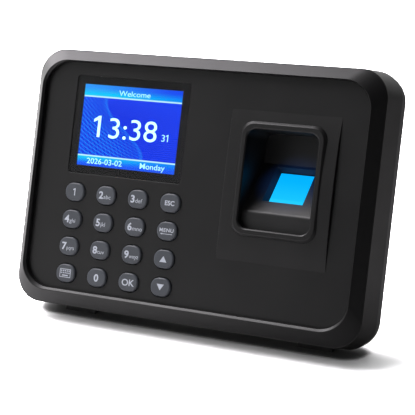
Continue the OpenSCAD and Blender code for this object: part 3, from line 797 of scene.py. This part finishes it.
def face_outwards(mesh: bpy.types.Mesh) -> None:
    """Joins doubled vertices and turns every face of a mesh outwards."""
    shape = bmesh.new()
    shape.from_mesh(mesh)
    bmesh.ops.remove_doubles(shape, verts=shape.verts, dist=DOUBLED)
    bmesh.ops.recalc_face_normals(shape, faces=shape.faces)
    shape.to_mesh(mesh)
    shape.free()


def weigh_normals(made: bpy.types.Object) -> None:
    """Keeps an object's large faces flat where their edges are rounded."""
    weighted = made.modifiers.new("weighted_normals", "WEIGHTED_NORMAL")
    weighted.weight, weighted.keep_sharp = 90, True


class Workshop:
    """Turns drawn solids into pieces, and dresses the CAD nodes."""

    def __init__(self) -> None:
        """Builds the materials."""
        self.matrix = LEAN.matrix()
        self.materials = finishes()

    def piece(self, name: str, solid: Solid, material: str, body: str = "terminal", slot: str = "",
              replaces: Sequence[str] = (), flat: bool = False) -> bpy.types.Object:
        """Makes a piece of the object from a solid.

        Args:
            name: The piece's name.
            solid: The drawn solid.
            material: The material's name.
            body: The body that the piece rides on.
            slot: The record's material slot; not used.
            replaces: CAD nodes that the piece stands for.
            flat: True to leave the faces flat-shaded.

        Returns:
            The new object.
        """
        mesh = bpy.data.meshes.new(name)
        mesh.from_pydata([self.matrix @ Vector(v) for v in solid.verts], [], solid.faces)
        mesh.validate()
        face_outwards(mesh)
        mesh.polygons.foreach_set("use_smooth", [not flat] * len(mesh.polygons))
        if not flat:
            mesh.set_sharp_from_angle(angle=SHARP_ANGLE)
        mesh.materials.append(self.materials[material])
        made = bpy.data.objects.new(name, mesh)
        bpy.context.scene.collection.objects.link(made)
        if not flat:
            weigh_normals(made)
        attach(made, body)
        if replaces:
            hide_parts(*replaces)
        LOG.info("piece %s: %d faces on %s", name, len(mesh.polygons), body)
        return made

    def dress(self, node: str, material: str, edge: float = 0.0) -> None:
        """Gives a CAD node its material, smooth curves and softened edges.

        Args:
            node: The CAD node's name.
            material: The material's name.
            edge: Width of the softened edges in millimetres, or 0 for none.
        """
        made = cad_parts[node]
        made.data.materials.clear()
        made.data.materials.append(self.materials[material])
        smooth = made.modifiers.new("smooth", "NODES")
        smooth.node_group = smooth_group()
        if edge:
            bevel = made.modifiers.new("soft_edges", "BEVEL")
            bevel.width, bevel.segments, bevel.limit_method = edge * MM, 2, "ANGLE"
            bevel.angle_limit = BEVEL_ANGLE
            weigh_normals(made)
        LOG.info("CAD node %s: %s", node, material)


def smooth_group() -> Tree:
    """Returns the geometry nodes that join a CAD mesh's faces and smooth its curved stretches."""
    name = "smooth_curves"
    if name in bpy.data.node_groups:
        return bpy.data.node_groups[name]
    tree = bpy.data.node_groups.new(name, "GeometryNodeTree")
    tree.interface.new_socket("Geometry", in_out="INPUT", socket_type="NodeSocketGeometry")
    tree.interface.new_socket("Geometry", in_out="OUTPUT", socket_type="NodeSocketGeometry")
    g = Graph(tree)
    source = g.add("NodeGroupInput")
    bare = g.add("GeometryNodeRemoveAttribute", {"Geometry": source.outputs[0],
                                                 "Name": "custom_normal"})
    joined = g.add("GeometryNodeMergeByDistance", {"Geometry": bare.outputs[0], "Distance": 2e-6})
    angle = g.add("GeometryNodeInputMeshEdgeAngle").outputs["Unsigned Angle"]
    gentle = g.add("FunctionNodeCompare", {0: angle, 1: GENTLE_ANGLE}, data_type="FLOAT",
                   operation="LESS_THAN")
    faces = g.add("GeometryNodeSetShadeSmooth", {"Geometry": joined.outputs[0], "Shade Smooth": True},
                  domain="FACE")
    edges = g.add("GeometryNodeSetShadeSmooth", {"Geometry": faces.outputs[0],
                                                 "Shade Smooth": gentle.outputs[0]}, domain="EDGE")
    g.add("NodeGroupOutput", {0: edges.outputs[0]})
    return tree


# ---------------------------------------------------------------- front cover


@dataclass
class FrontCover:
    """The rim with its bevels, the recessed face panel, the arched pad and the pocket's frame.

    Sizes are in millimetres; offsets are measured outwards from the face panel's edge.

    Attributes:
        shop: Makes the piece.
        panel_w: Width of the face panel.
        panel_h: Height of the face panel.
        panel_z0: Height of the panel's lower edge.
        panel_y: Depth of the panel's face.
        panel_t: The panel's thickness.
        corner: Corner radius of the outline.
        crest: Offset of the rim's crest.
        crest_y: Depth of the crest.
        wall_top: Offset and depth at which the inner wall turns into the crest's slope.
        steepness: Width of the inner wall at the top and right, as a share of the left.
        bevel: Offset of the seam at the sides, the bottom and the top.
        seam_y: Depth of the seam.
        tongue: Insets of the tongue's two faces from the seam, and the depth of its end.
        window: Width, height and corner radius of the window's hole.
        key_hole: Width, height and corner radius of a key's hole.
        pocket_x: Middle of the finger pocket.
        pocket_up: Height of the pocket's middle above the panel's lower edge.
        mouth: Width, height and corner radius of the pocket's mouth.
        mouth_gap: How far the panel's hole stands off from the mouth.
        frame_w: Width of the frame round the mouth.
        frame_h: Height of the frame above the panel.
        frame_slopes: Width of the frame's outer and inner chamfer.
        pad: Width, height and rise of the arched pad.
        pad_down: How far the pad's middle lies below the pocket's.
        pad_gap: Distance from the mouth to the pad's edge.
        root: How far hidden edges reach into the pieces behind them.
    """

    shop: Workshop
    panel_w: float = 153.0
    panel_h: float = 102.0
    panel_z0: float = 9.1
    panel_y: float = 2.75
    panel_t: float = 2.4
    corner: float = 12.5
    crest: float = 1.3
    crest_y: float = -0.15
    wall_top: Flat = (0.12, 0.62)
    steepness: float = 0.25
    bevel: Point = (6.3, 7.6, 6.6)
    seam_y: float = 5.5
    tongue: Point = (2.3, 3.6, 7.5)
    window: Point = (56.66, 44.46, 1.53)
    key_hole: Point = (10.3, 8.9, 4.15)
    pocket_x: float = 40.8
    pocket_up: float = 58.5
    mouth: Point = (32.0, 42.4, 4.0)
    mouth_gap: float = 1.0
    frame_w: float = 3.4
    frame_h: float = 2.2
    frame_slopes: Flat = (1.1, 0.55)
    pad: Point = (49.4, 64.5, 1.6)
    pad_down: float = 3.2
    pad_gap: float = 0.8
    root: float = 0.4

    @property
    def pocket_z(self) -> float:
        """Height of the finger pocket's middle."""
        return self.panel_z0 + self.pocket_up

    def outline(self, offset: float, steps: int = 20) -> list[Flat]:
        """Returns the housing's outline at an offset from the panel's edge.

        Args:
            offset: The offset at the left side. The inner wall is steeper at the top and the right,
                and past the crest the top and bottom run ahead of the sides.
            steps: Segments in each corner.
        """
        side, bottom, top = self.bevel
        wide = min(offset, self.crest)
        steep = self.crest - (self.crest - wide) * self.steepness
        past = max(0.0, offset - self.crest)
        share = past / (side - self.crest)
        low = wide + share * (bottom - self.crest)
        high = steep + share * (top - self.crest)
        width, height = self.panel_w + wide + steep + 2 * past, self.panel_h + low + high
        return rounded_rect(width, height, self.corner, (steep - wide) / 2,
                            self.panel_z0 - low + height / 2, steps)

    def inner_outline(self, inset: float, steps: int = 20) -> list[Flat]:
        """Returns the outline at the seam drawn in by an inset."""
        side, bottom, top = self.bevel
        height = self.panel_h + bottom + top - 2 * inset
        middle = self.panel_z0 + (self.panel_h + top - bottom) / 2
        return rounded_rect(self.panel_w + 2 * (side - inset), height, self.corner, 0.0, middle, steps)

    def rim(self, solid: Solid) -> None:
        """Draws the rim: inner wall, crest, bevel, seam edge and the tongue behind the seam."""
        front = rounded_line(
            [(-0.4, self.panel_y + 0.6), (0.0, self.panel_y), self.wall_top, (self.crest, self.crest_y),
             (self.bevel[0], self.seam_y), (self.bevel[0] - 1.0, self.seam_y)],
            [0, 0.0, 0.25, 0.3, 0.22, 0], 6)
        rings = [at_depth(self.outline(offset), y) for offset, y in front[1:-1]]
        out, inside, end = self.tongue
        back = self.panel_y + self.panel_t
        for inset, y in ((out, self.seam_y), (out, end), (inside, end), (inside, back)):
            rings.append(at_depth(self.inner_outline(inset), y))
        rings.append(at_depth(self.outline(0.0), back))
        solid.loft(rings, closed=True)

    def panel(self, solid: Solid) -> None:
        """Draws the face panel with its openings; its outer edge lies inside the rim."""
        window = LEAN.middle_of("display_window")
        holes = [rounded_rect(*self.window, window.x, window.z, 6)]
        for node in KEY_NODES:
            middle = LEAN.middle_of(node)
            holes.append(rounded_rect(*self.key_hole, middle.x, middle.z, 10))
        width, height, radius = self.mouth
        gap = self.mouth_gap
        holes.append(rounded_rect(width + 2 * gap, height + 2 * gap, radius + gap, self.pocket_x,
                                  self.pocket_z))
        solid.plate(self.outline(self.root), holes, self.panel_y, self.panel_y + self.panel_t, 0.12)

    def pad_slice(self, z: float, foot: float) -> tuple[list[Point], int]:
        """Returns one slice across the pad, and where its two inner points start.

        Args:
            z: Height of the slice.
            foot: Depth of the pad's hidden underside.
        """
        width, height, rise = self.pad
        radius = (height * height / 4 + rise * rise) / (2 * rise)
        along = z - (self.pocket_z - self.pad_down)
        tall = max(0.004, math.sqrt(radius * radius - along * along) - (radius - rise))
        inner = self.mouth[0] / 2 + self.pad_gap
        half = rounded_line([(width / 2, 0.0), (width / 2 - tall * 0.1, tall), (inner, tall)],
                            [0, min(0.45, tall * 0.5), 0], 6)
        top = half + [(-x, h) for x, h in reversed(half)]
        ring = [(self.pocket_x + x, self.panel_y - h, z) for x, h in top]
        ring += [(self.pocket_x + x, foot, z) for x in (-width / 2, -inner, inner, width / 2)]
        return ring, len(half) - 1

    def arched_pad(self, solid: Solid) -> None:
        """Draws the pad, highest in its middle, open where the pocket's mouth is."""
        height, hole = self.pad[1], self.mouth[1] / 2 + self.pad_gap
        middle = self.pocket_z - self.pad_down
        levels = [middle + height * (i / 40 - 0.5) for i in range(41)]
        low, high = self.pocket_z - hole, self.pocket_z + hole
        levels = sorted([z for z in levels if min(abs(z - low), abs(z - high)) > 0.5] + [low, high])
        slices = [self.pad_slice(z, self.panel_y + self.root) for z in levels]
        n, inner = len(slices[0][0]), slices[0][1]
        verts = [point for ring, _ in slices for point in ring]
        left, right = n - 3, n - 2
        faces: list[tuple[int, ...]] = [tuple(reversed(range(n))),
                                        tuple((len(levels) - 1) * n + i for i in range(n))]
        for a, z in enumerate(levels[:-1]):
            b = (a + 1) * n
            a *= n
            open_here = low - 0.01 < z < high - 0.01
            for i in range(n):
                j = (i + 1) % n
                if not (open_here and i in (inner, left)):
                    faces.append((a + i, a + j, b + j, b + i))
            if open_here:
                faces.append((a + inner, b + inner, b + right, a + right))
                faces.append((a + left, b + left, b + inner + 1, a + inner + 1))
        for z in (low, high):
            a = levels.index(z) * n
            faces.append((a + inner, a + inner + 1, a + left, a + right))
        solid.add(verts, faces)

    def mouth_frame(self, solid: Solid) -> None:
        """Draws the raised frame round the mouth as one rounded ring."""
        width, height, radius = self.mouth
        top = self.panel_y - self.frame_h
        back = self.panel_y + self.panel_t
        outer, inner = self.frame_slopes
        line = rounded_line([(self.frame_w, back), (self.frame_w, top + outer),
                             (self.frame_w - outer, top), (inner, top), (0.0, top + inner), (0.0, back)],
                            [0, 0.6, 0.6, 0.35, 0.35, 0], 5)
        rings = [at_depth(rounded_rect(width + 2 * o, height + 2 * o, radius + 0.6 * o, self.pocket_x,
                                       self.pocket_z), y) for o, y in line]
        solid.loft(rings, closed=True)

    def build(self) -> None:
        """Makes the front cover."""
        solid = Solid()
        self.rim(solid)
        self.panel(solid)
        self.arched_pad(solid)
        self.mouth_frame(solid)
        self.shop.piece("cover_front", solid, "front_plastic", slot="front_shell",
                        replaces=["front_cover"])


# ---------------------------------------------------------------- display


def lettering(text: str, size: float, x: float, y: float, z: float, align: str = "LEFT",
              bold: float = 0.0, stretch: float = 1.0, spacing: float = 1.0) -> Solid:
    """Draws letters on a face that looks forward.

    Args:
        text: The letters.
        size: Height of a capital in millimetres.
        x: Place of the line's left end, middle or right end.
        y: Depth of the letters.
        z: Height of the line that the letters stand on.
        align: LEFT, CENTER or RIGHT.
        bold: How far the outlines are grown, in millimetres.
        stretch: Width of the letters, 1 for the plain one.
        spacing: Distance between letters, 1 for the plain one.

    Returns:
        The letters as a solid.
    """
    capital = 0.729
    curve = bpy.data.curves.new("letters", "FONT")
    curve.body, curve.align_x, curve.space_character = text, align, spacing
    curve.size, curve.offset, curve.extrude = size / capital, bold, 0.01
    curve.resolution_u = 6
    return filled(curve, lambda at: (x + at.x * stretch, y - at.z, z + at.y))


def figure_one(size: float, x: float, y: float, z: float) -> Solid:
    """Draws a figure one with a flag.

    Args:
        size: Its height in millimetres.
        x: Left side of its upright.
        y: Its depth.
        z: Height of the line that it stands on.
    """
    wide, out = 0.145 * size, 0.22 * size
    outline = [(x, z), (x + wide, z), (x + wide, z + size), (x + wide * 0.3, z + size),
               (x - out, z + size * 0.83), (x - out, z + size * 0.70), (x, z + size * 0.80)]
    front, back = at_depth(outline, y - 0.01), at_depth(outline, y + 0.01)
    return Solid().loft([front, back])


@dataclass
class Display:
    """The window, the border printed behind it, and the lit picture with its words and figures.

    Attributes:
        shop: Makes the pieces.
        window: Width, height and corner radius of the window.
        window_t: Thickness of the window's CAD node.
        sheet_t: Thickness of the clear sheet that is drawn.
        picture: Width and height of the lit picture.
        layers: Depths behind the sheet of the border's faces, the letters and the picture's faces.
    """

    shop: Workshop
    window: Point = (56.6, 44.4, 1.5)
    window_t: float = 1.2
    sheet_t: float = 0.45
    picture: Flat = (48.96, 36.72)
    layers: tuple[float, ...] = (0.01, 0.04, 0.07, 0.10, 0.15)

    def build(self) -> None:
        """Makes the display's pieces."""
        middle = LEAN.middle_of("display_window")
        front = middle.y - self.window_t / 2
        back = front + self.sheet_t
        wide, tall, corner = self.window
        line = rounded_line([(0.0, back), (0.0, front), (wide, front)], [0, 0.1, 0], 4)
        pane = Solid().loft([at_depth(rounded_rect(wide - 2 * o, tall - 2 * o, corner, middle.x,
                                                   middle.z, 8), y) for o, y in line[:-1]])
        self.shop.piece("window_pane", pane, "window_pane", slot="window_lens",
                        replaces=["display_window"])
        border_front, border_back, letters, lit_front, lit_back = (back + y for y in self.layers)
        border = Solid().plate(rounded_rect(wide, tall, corner, middle.x, middle.z, 8),
                               [rounded_rect(*self.picture, 0.05, middle.x, middle.z, 2)],
                               border_front, border_back)
        self.shop.piece("window_border", border, "window_print", slot="window_lens", flat=True)
        self.words(middle, letters)
        width, height = self.picture
        outline = rounded_rect(width + 0.2, height + 0.2, 0.05, middle.x, middle.z, 2)
        lit = Solid().loft([at_depth(outline, y) for y in (lit_front, lit_back)])
        self.shop.piece("screen_picture", lit, "lit_picture", slot="lcd_screen", flat=True)

    def words(self, middle: Vector, y: float) -> None:
        """Draws the words and figures just in front of the picture.

        Args:
            middle: Middle of the window.
            y: Depth of the letters.
        """
        low_x = middle.x - self.picture[0] / 2
        low_z = middle.z - self.picture[1] / 2
        width, height = self.picture
        lines = [
            ("screen_greeting", "Welcome", 0.068, 0.52, 0.885, "CENTER", 0.01, 1.16, "lit_small_text"),
            ("screen_time", "3:38", 0.262, 0.275, 0.360, "LEFT", -0.04, 1.12, "lit_text"),
            ("screen_seconds", "3", 0.086, 0.830, 0.380, "LEFT", 0.0, 1.05, "lit_small_text"),
            ("screen_date", "2026-03-02", 0.070, 0.10, 0.030, "LEFT", 0.03, 1.1, "lit_small_text"),
            ("screen_day", "Monday", 0.070, 0.90, 0.030, "RIGHT", 0.03, 1.1, "lit_small_text"),
        ]
        # Blender's letters have a 1 without a flag, so the ones of these lines are drawn apart
        ones = {"screen_time": 0.175, "screen_seconds": 0.893}
        for name, text, size, u, v, align, bold, stretch, ink in lines:
            solid = lettering(text, size * height, low_x + u * width, y, low_z + v * height, align,
                              bold, stretch)
            if name in ones:
                solid.join(figure_one(size * height, low_x + ones[name] * width, y, low_z + v * height))
            self.shop.piece(name, solid, ink, slot="lcd_screen", flat=True)


# ---------------------------------------------------------------- keypad


class Mark(Enum):
    """What is printed on a key."""

    FIGURE = "figure"
    WORD = "word"
    RETURN = "return"
    UP = "up"
    DOWN = "down"
    KEYBOARD = "keyboard"


@dataclass(frozen=True)
class Key:
    """A key: its CAD node, its mark, and the figure or word with the small letters beside it."""

    node: str
    mark: Mark
    text: str = ""
    letters: str = ""


KEYS = (
    Key("key_1", Mark.FIGURE, "1"), Key("key_2", Mark.FIGURE, "2", "abc"),
    Key("key_3", Mark.FIGURE, "3", "def"), Key("key_esc", Mark.WORD, "ESC"),
    Key("key_4", Mark.FIGURE, "4", "ghi"), Key("key_5", Mark.FIGURE, "5", "jkl"),
    Key("key_6", Mark.FIGURE, "6", "mno"), Key("key_menu", Mark.RETURN, "MENU"),
    Key("key_7", Mark.FIGURE, "7", "pqrs"), Key("key_8", Mark.FIGURE, "8", "tuv"),
    Key("key_9", Mark.FIGURE, "9", "wxyz"), Key("key_up", Mark.UP),
    Key("key_input", Mark.KEYBOARD), Key("key_0", Mark.FIGURE, "0"),
    Key("key_ok", Mark.WORD, "OK"), Key("key_down", Mark.DOWN),
)
KEY_NODES = tuple(key.node for key in KEYS)


@dataclass
class Keypad:
    """The sixteen key caps and what is printed on them."""

    shop: Workshop
    cap: Point = (9.6, 8.2, 3.8)
    top_y: float = 1.55
    skirt_y: float = 5.35
    flange: Point = (11.4, 10.0, 3.8)
    flange_end: float = 6.25
    ink: float = 0.012

    def cap_solid(self, x: float, z: float) -> Solid:
        """Draws a key cap with a soft edge and a flat top.

        Args:
            x: Middle of the key.
            z: Middle of the key.
        """
        width, height, radius = self.cap
        line = rounded_line([(0.0, self.skirt_y), (0.0, self.top_y), (2.6, self.top_y)],
                            [0, 0.75, 0], 7)
        rings = [at_depth(rounded_rect(*self.flange, x, z), y) for y in (self.flange_end, self.skirt_y)]
        rings += [at_depth(rounded_rect(width - 2 * o, height - 2 * o, max(0.6, radius - o), x, z), y)
                  for o, y in line[:-1]]
        return Solid().loft(rings)

    def triangle(self, x: float, z: float, way: int) -> Solid:
        """Draws a small filled arrowhead; way is 1 for up and -1 for down."""
        half, tall = 1.75, 2.7
        base, tip = z - way * tall / 2, z + way * tall / 2
        points = [(x - half, base), (x + half, base), (x, tip)]
        return Solid().add(at_depth(points, self.top_y - self.ink), [(0, 1, 2)])

    def strip(self, solid: Solid, x: float, z: float, width: float, height: float) -> None:
        """Adds a printed rectangle with its middle at x and z."""
        corners = [(x + sx * width / 2, z + sz * height / 2)
                   for sx, sz in ((-1, -1), (1, -1), (1, 1), (-1, 1))]
        solid.add(at_depth(corners, self.top_y - self.ink), [(0, 1, 2, 3)])

    def keyboard(self, x: float, z: float) -> Solid:
        """Draws the small picture of a keyboard: a frame, two rows of keys and a long one."""
        solid = Solid()
        width, height, line = 5.6, 3.9, 0.3
        for way in (-1, 1):
            self.strip(solid, x, z + way * (height - line) / 2, width, line)
            self.strip(solid, x + way * (width - line) / 2, z, line, height)
        for row in range(2):
            for column in range(5):
                self.strip(solid, x + (column - 2) * 0.98, z + 1.05 - row * 0.95, 0.58, 0.55)
        self.strip(solid, x, z - 1.0, 3.0, 0.5)
        return solid

    def printed(self, key: Key, x: float, z: float) -> Solid:
        """Draws a key's mark.

        Args:
            key: The key.
            x: Middle of the key.
            z: Middle of the key.
        """
        y = self.top_y - self.ink
        if key.mark in (Mark.UP, Mark.DOWN):
            return self.triangle(x, z, 1 if key.mark is Mark.UP else -1)
        if key.mark is Mark.KEYBOARD:
            return self.keyboard(x, z)
        if key.mark is Mark.RETURN:
            solid = lettering(key.text, 1.75, x, y, z - 0.45, "CENTER", 0.03, spacing=1.1)
            self.strip(solid, x + 0.3, z - 1.3, 5.2, 0.26)
            arrow = [(x - 2.9, z - 1.3), (x - 1.9, z - 1.75), (x - 1.9, z - 0.85)]
            return solid.add(at_depth(arrow, y), [(0, 1, 2)])
        if key.mark is Mark.WORD:
            size = 2.1 if len(key.text) > 2 else 3.0
            return lettering(key.text, size, x, y, z - size / 2, "CENTER", 0.07)
        if key.text == "1":
            return figure_one(3.3, x, y, z - 1.65)
        if not key.letters:
            return lettering(key.text, 3.3, x, y, z - 1.65, "CENTER", 0.13)
        solid = lettering(key.text, 3.3, x - 3.3, y, z - 1.6, "LEFT", 0.13)
        stretch = 0.86 if len(key.letters) > 3 else 1.05
        return solid.join(lettering(key.letters, 1.9, x - 0.9, y, z - 1.6, stretch=stretch))

    def build(self) -> None:
        """Makes the key caps and their marks."""
        for key in KEYS:
            middle = LEAN.middle_of(key.node)
            short = key.node.removeprefix("key_")
            self.shop.piece("cap_" + short, self.cap_solid(middle.x, middle.z), "key_plastic",
                            key.node, "key_plastic", [key.node])
            self.shop.piece("print_" + short, self.printed(key, middle.x, middle.z), "key_ink",
                            key.node, "key_plastic", flat=True)


# ---------------------------------------------------------------- contacts in the ports


@dataclass
class Ports:
    """The contact tongue in the memory-stick port and the centre pin in the power jack.

    Attributes:
        shop: Makes the pieces.
        tongue: Length, thickness and height of the contact tongue.
        tongue_off: How far its middle lies behind the socket's.
        tongue_root: How far its root lies inwards from the socket's middle.
        strip: Length, thickness and width of a contact strip.
        strip_places: Middles of the strips, measured up from the tongue's middle.
        strip_in: Distance from the tongue's free end to the strips.
        strip_proud: How far the strips stand out of the tongue.
        pin_root: How far the pin's root lies short of the jack's inner end.
        pin_line: Distance along the pin from its tip, and the radius there.
    """

    shop: Workshop
    tongue: Point = (8.9, 1.8, 11.0)
    tongue_off: float = 1.05
    tongue_root: float = 5.7
    strip: Point = (7.0, 0.12, 1.0)
    strip_places: tuple[float, ...] = (-3.5, -1.0, 1.0, 3.5)
    strip_in: float = 0.9
    strip_proud: float = 0.08
    pin_root: float = 1.7
    pin_line: tuple[Flat, ...] = ((0.0, 0.45), (0.25, 0.85), (0.7, 1.0), (8.2, 1.0))

    def block(self, low: Point, size: Point, edge: float) -> Solid:
        """Draws a bar that runs along x, with chamfered long edges and a chamfered mouth end.

        Args:
            low: The bar's lowest corner.
            size: Its size.
            edge: Width of the chamfers.
        """
        x, y, z = low
        wide, thick, tall = size
        rings = []
        for at, inset in ((x, edge), (x + edge, 0.0), (x + wide, 0.0)):
            y0, y1, z0, z1 = y + inset, y + thick - inset, z + inset, z + tall - inset
            rings.append([(at, y0 + edge, z0), (at, y1 - edge, z0), (at, y1, z0 + edge),
                          (at, y1, z1 - edge), (at, y1 - edge, z1), (at, y0 + edge, z1),
                          (at, y0, z1 - edge), (at, y0, z0 + edge)])
        return Solid().loft(rings)

    def build(self) -> None:
        """Makes the contacts."""
        socket = LEAN.middle_of("usb_socket")
        wide, thick, tall = self.tongue
        tip = socket.x + self.tongue_root - wide
        y = socket.y + self.tongue_off - thick / 2
        bar = self.block((tip, y, socket.z - tall / 2), self.tongue, 0.25)
        self.shop.piece("port_tongue", bar, "white_plug", slot="socket_steel", flat=True)
        strips = Solid()
        for off in self.strip_places:
            low = (tip + self.strip_in, y - self.strip_proud, socket.z + off - self.strip[2] / 2)
            strips.join(self.block(low, self.strip, 0.03))
        self.shop.piece("port_contacts", strips, "gold_contact", slot="socket_steel", flat=True)
        low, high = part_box("power_jack")
        jack = LEAN.middle_of("power_jack")
        tip = jack.x + (high.x - low.x) / MM / 2 - self.pin_root - self.pin_line[-1][0]
        angles = [math.tau * i / 28 for i in range(28)]
        pin = Solid().loft([[(tip + along, jack.y + r * math.cos(a), jack.z + r * math.sin(a))
                             for a in angles] for along, r in self.pin_line])
        self.shop.piece("jack_pin", pin, "plated_steel", slot="jack_plastic")


# ---------------------------------------------------------------- what the CAD nodes are made of


@dataclass
class Dressing:
    """The finish of each CAD node that is shown as it is."""

    shop: Workshop
    plan: dict[str, tuple[str, float]] = field(default_factory=lambda: {
        "rear_cover": ("rear_plastic", 0.3), "window_tape": ("black_film", 0.0),
        "lcd_glass": ("lit_picture", 0.0), "backlight_frame": ("white_plastic", 0.15),
        "display_flex": ("amber_flex", 0.0), "finger_well": ("well_plastic", 0.25),
        "sensor_gasket": ("seal_rubber", 0.0), "sensor_window": ("sensor_glow", 0.0),
        "sensor_light": ("blue_diffuser", 0.0), "sensor_housing": ("black_nylon", 0.1),
        "sensor_board": ("green_board", 0.0), "sensor_screws": ("plated_steel", 0.0),
        "sensor_cable": ("white_flat_cable", 0.0), "keypad_mat": ("mat_silicone", 0.1),
        "keypad_board": ("green_board", 0.0), "keypad_screws": ("plated_steel", 0.1),
        "main_board": ("green_board", 0.0), "board_chips": ("black_epoxy", 0.1),
        "board_sockets": ("ivory_nylon", 0.1), "board_screws": ("plated_steel", 0.1),
        "board_cable": ("white_flat_cable", 0.0), "coin_cell_holder": ("black_nylon", 0.15),
        "coin_cell": ("rolled_steel", 0.15), "speaker_basket": ("basket_steel", 0.15),
        "speaker_cone": ("black_film", 0.0), "speaker_wires": ("wire_red", 0.0),
        "usb_socket": ("plated_steel", 0.05), "power_jack": ("black_nylon", 0.15),
        "case_screws": ("plated_steel", 0.1), "rubber_feet": ("foot_rubber", 0.2),
        "stand_leg": ("stand_plastic", 0.3), "stand_pin": ("plated_steel", 0.1),
        "stand_pad": ("foot_rubber", 0.15),
    })

    def build(self) -> None:
        """Dresses the nodes."""
        for node, (material, edge) in self.plan.items():
            self.shop.dress(node, material, edge)
        for node in ("front_cover", "display_window", *KEY_NODES):
            self.shop.dress(node, "front_plastic")


# ---------------------------------------------------------------- studio


@dataclass(frozen=True)
class Softbox:
    """A rectangular soft lamp: its place, size in metres, the brightness of its face, and its aim."""

    name: str
    place: Point
    size: Flat
    bright: float
    colour: Colour = (1.0, 1.0, 1.0)
    aim: Point = (0.0, 0.0, 0.06)

    def hang(self) -> None:
        """Hangs the lamp."""
        data = bpy.data.lights.new(self.name, "AREA")
        data.shape, data.color = "RECTANGLE", self.colour
        data.size, data.size_y = self.size
        data.energy = self.bright * math.pi * self.size[0] * self.size[1]
        made = bpy.data.objects.new(self.name, data)
        made.location = self.place
        way = Vector(self.aim) - Vector(self.place)
        made.rotation_euler = way.to_track_quat("-Z", "Y").to_euler()
        made.visible_camera = False
        bpy.context.scene.collection.objects.link(made)


SOFTBOXES = (
    Softbox("overhead", (-0.68, 0.30, 0.85), (0.56, 1.2), 3.8, (1.0, 0.94, 1.0)),
    Softbox("front_top", (-0.44, -0.14, 0.85), (0.5, 0.5), 9.0, (1.0, 0.97, 1.0)),
    Softbox("left_card", (-0.34, 0.22, 0.12), (0.45, 0.40), 1.3),
    Softbox("front_card", (-0.42, -0.55, 0.12), (0.5, 0.4), 0.2),
)


@dataclass
class Studio:
    """Camera, floor, sky and lamps.

    Attributes:
        camera_at: The camera's place.
        azimuth: Its turn about the upright axis in degrees.
        elevation: How far it looks down in degrees.
        lens: Its focal length in millimetres.
        lamps: The lamps.
        floor_half: Half the floor's side.
        floor_tones: The floor as the camera sees it, least and most.
        contact: Reach of the painted contact shadow beside the object, and the floor's tone in it.
        bounce_tones: The floor in reflections, painted darker away from the side lamps and brighter
            towards them.
        sky_way: Direction in which the sky is brightest.
        sky_tones: The sky in reflections, away from that direction and towards it.
    """

    camera_at: Point = (0.22118, -0.48305, 0.19724)
    azimuth: float = 24.462
    elevation: float = 15.11
    lens: float = 106.64
    lamps: tuple[Softbox, ...] = SOFTBOXES
    floor_half: float = 6.0
    floor_tones: Flat = (3.3, 3.4)
    contact: Flat = (0.0052, 0.28)
    bounce_tones: Flat = (0.24, 0.85)
    sky_way: Point = (-0.92, 0.39, 0.05)
    sky_tones: tuple[Colour, Colour] = ((0.06, 0.06, 0.062), (0.8, 0.8, 0.8))

    def camera(self) -> None:
        """Places the camera."""
        data = bpy.data.cameras.new("camera")
        data.lens, data.sensor_width = self.lens, 36.0
        data.clip_start, data.clip_end = 0.01, 50.0
        made = bpy.data.objects.new("camera", data)
        made.location = self.camera_at
        made.rotation_euler = (math.radians(90 - self.elevation), 0.0, math.radians(self.azimuth))
        bpy.context.scene.collection.objects.link(made)
        bpy.context.scene.camera = made

    def floor(self) -> None:
        """Lays the pale floor, with a painted contact shadow beside the object."""
        half = self.floor_half
        mesh = bpy.data.meshes.new("floor")
        mesh.from_pydata([(-half, -half, 0), (half, -half, 0), (half, half, 0), (-half, half, 0)], [],
                         [(0, 1, 2, 3)])
        made = bpy.data.objects.new("floor", mesh)
        material, g, shader, place = start_material("studio_floor")
        reach, dark = self.contact
        # Painted contact shadow: the floor's colour darkens where ambient occlusion finds the object
        # close by.
        open_sky = g.add("ShaderNodeAmbientOcclusion", {"Distance": reach}, samples=32).outputs["AO"]
        lit = g.mix(g.noise(place, 2.0), *(grey(tone) for tone in self.floor_tones))
        lit = g.mix(g.math("POWER", g.step(open_sky, 0.12, 1.0), 5.0), grey(dark), lit)
        # Painted light for reflections: the floor is brighter on the left and front, towards the side
        # lamps, and darker to the right and back.
        left = g.step(g.dot(place, (-0.8, -0.6, 0.0)), -0.06, 0.06)
        bounce = g.mix(left, *(grey(tone) for tone in self.bounce_tones))
        matt = g.add("ShaderNodeBsdfDiffuse", {"Color": g.mix(g.seen(), bounce, lit)})
        g.feed(g.tree.nodes["Material Output"], {"Surface": matt.outputs[0]})
        g.tree.nodes.remove(shader)
        mesh.materials.append(material)
        bpy.context.scene.collection.objects.link(made)

    def sky(self) -> None:
        """Builds the sky: white to the camera; in reflections bright on the left and dim elsewhere."""
        world = bpy.data.worlds.new("sky")
        world.use_nodes = True
        bpy.context.scene.world = world
        g = Graph(world.node_tree)
        way = g.add("ShaderNodeTexCoord").outputs["Generated"]
        tone = g.mix(g.step(g.dot(way, self.sky_way), -0.4, 0.7), *self.sky_tones)
        g.feed(world.node_tree.nodes["Background"], {"Color": g.mix(g.seen(), tone, grey(1.0))})

    def build(self) -> None:
        """Sets up the studio."""
        self.camera()
        self.floor()
        self.sky()
        for lamp in self.lamps:
            lamp.hang()
        bpy.context.scene.view_settings.view_transform = "Standard"


def main() -> None:
    """Builds the studio and every sub-assembly."""
    logging.basicConfig(level=logging.INFO, format="%(name)s: %(message)s")
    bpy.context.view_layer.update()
    Studio().build()
    shop = Workshop()
    for part in (Dressing(shop), FrontCover(shop), Display(shop), Keypad(shop), Ports(shop)):
        part.build()


if __name__ == "__main__":
    main()
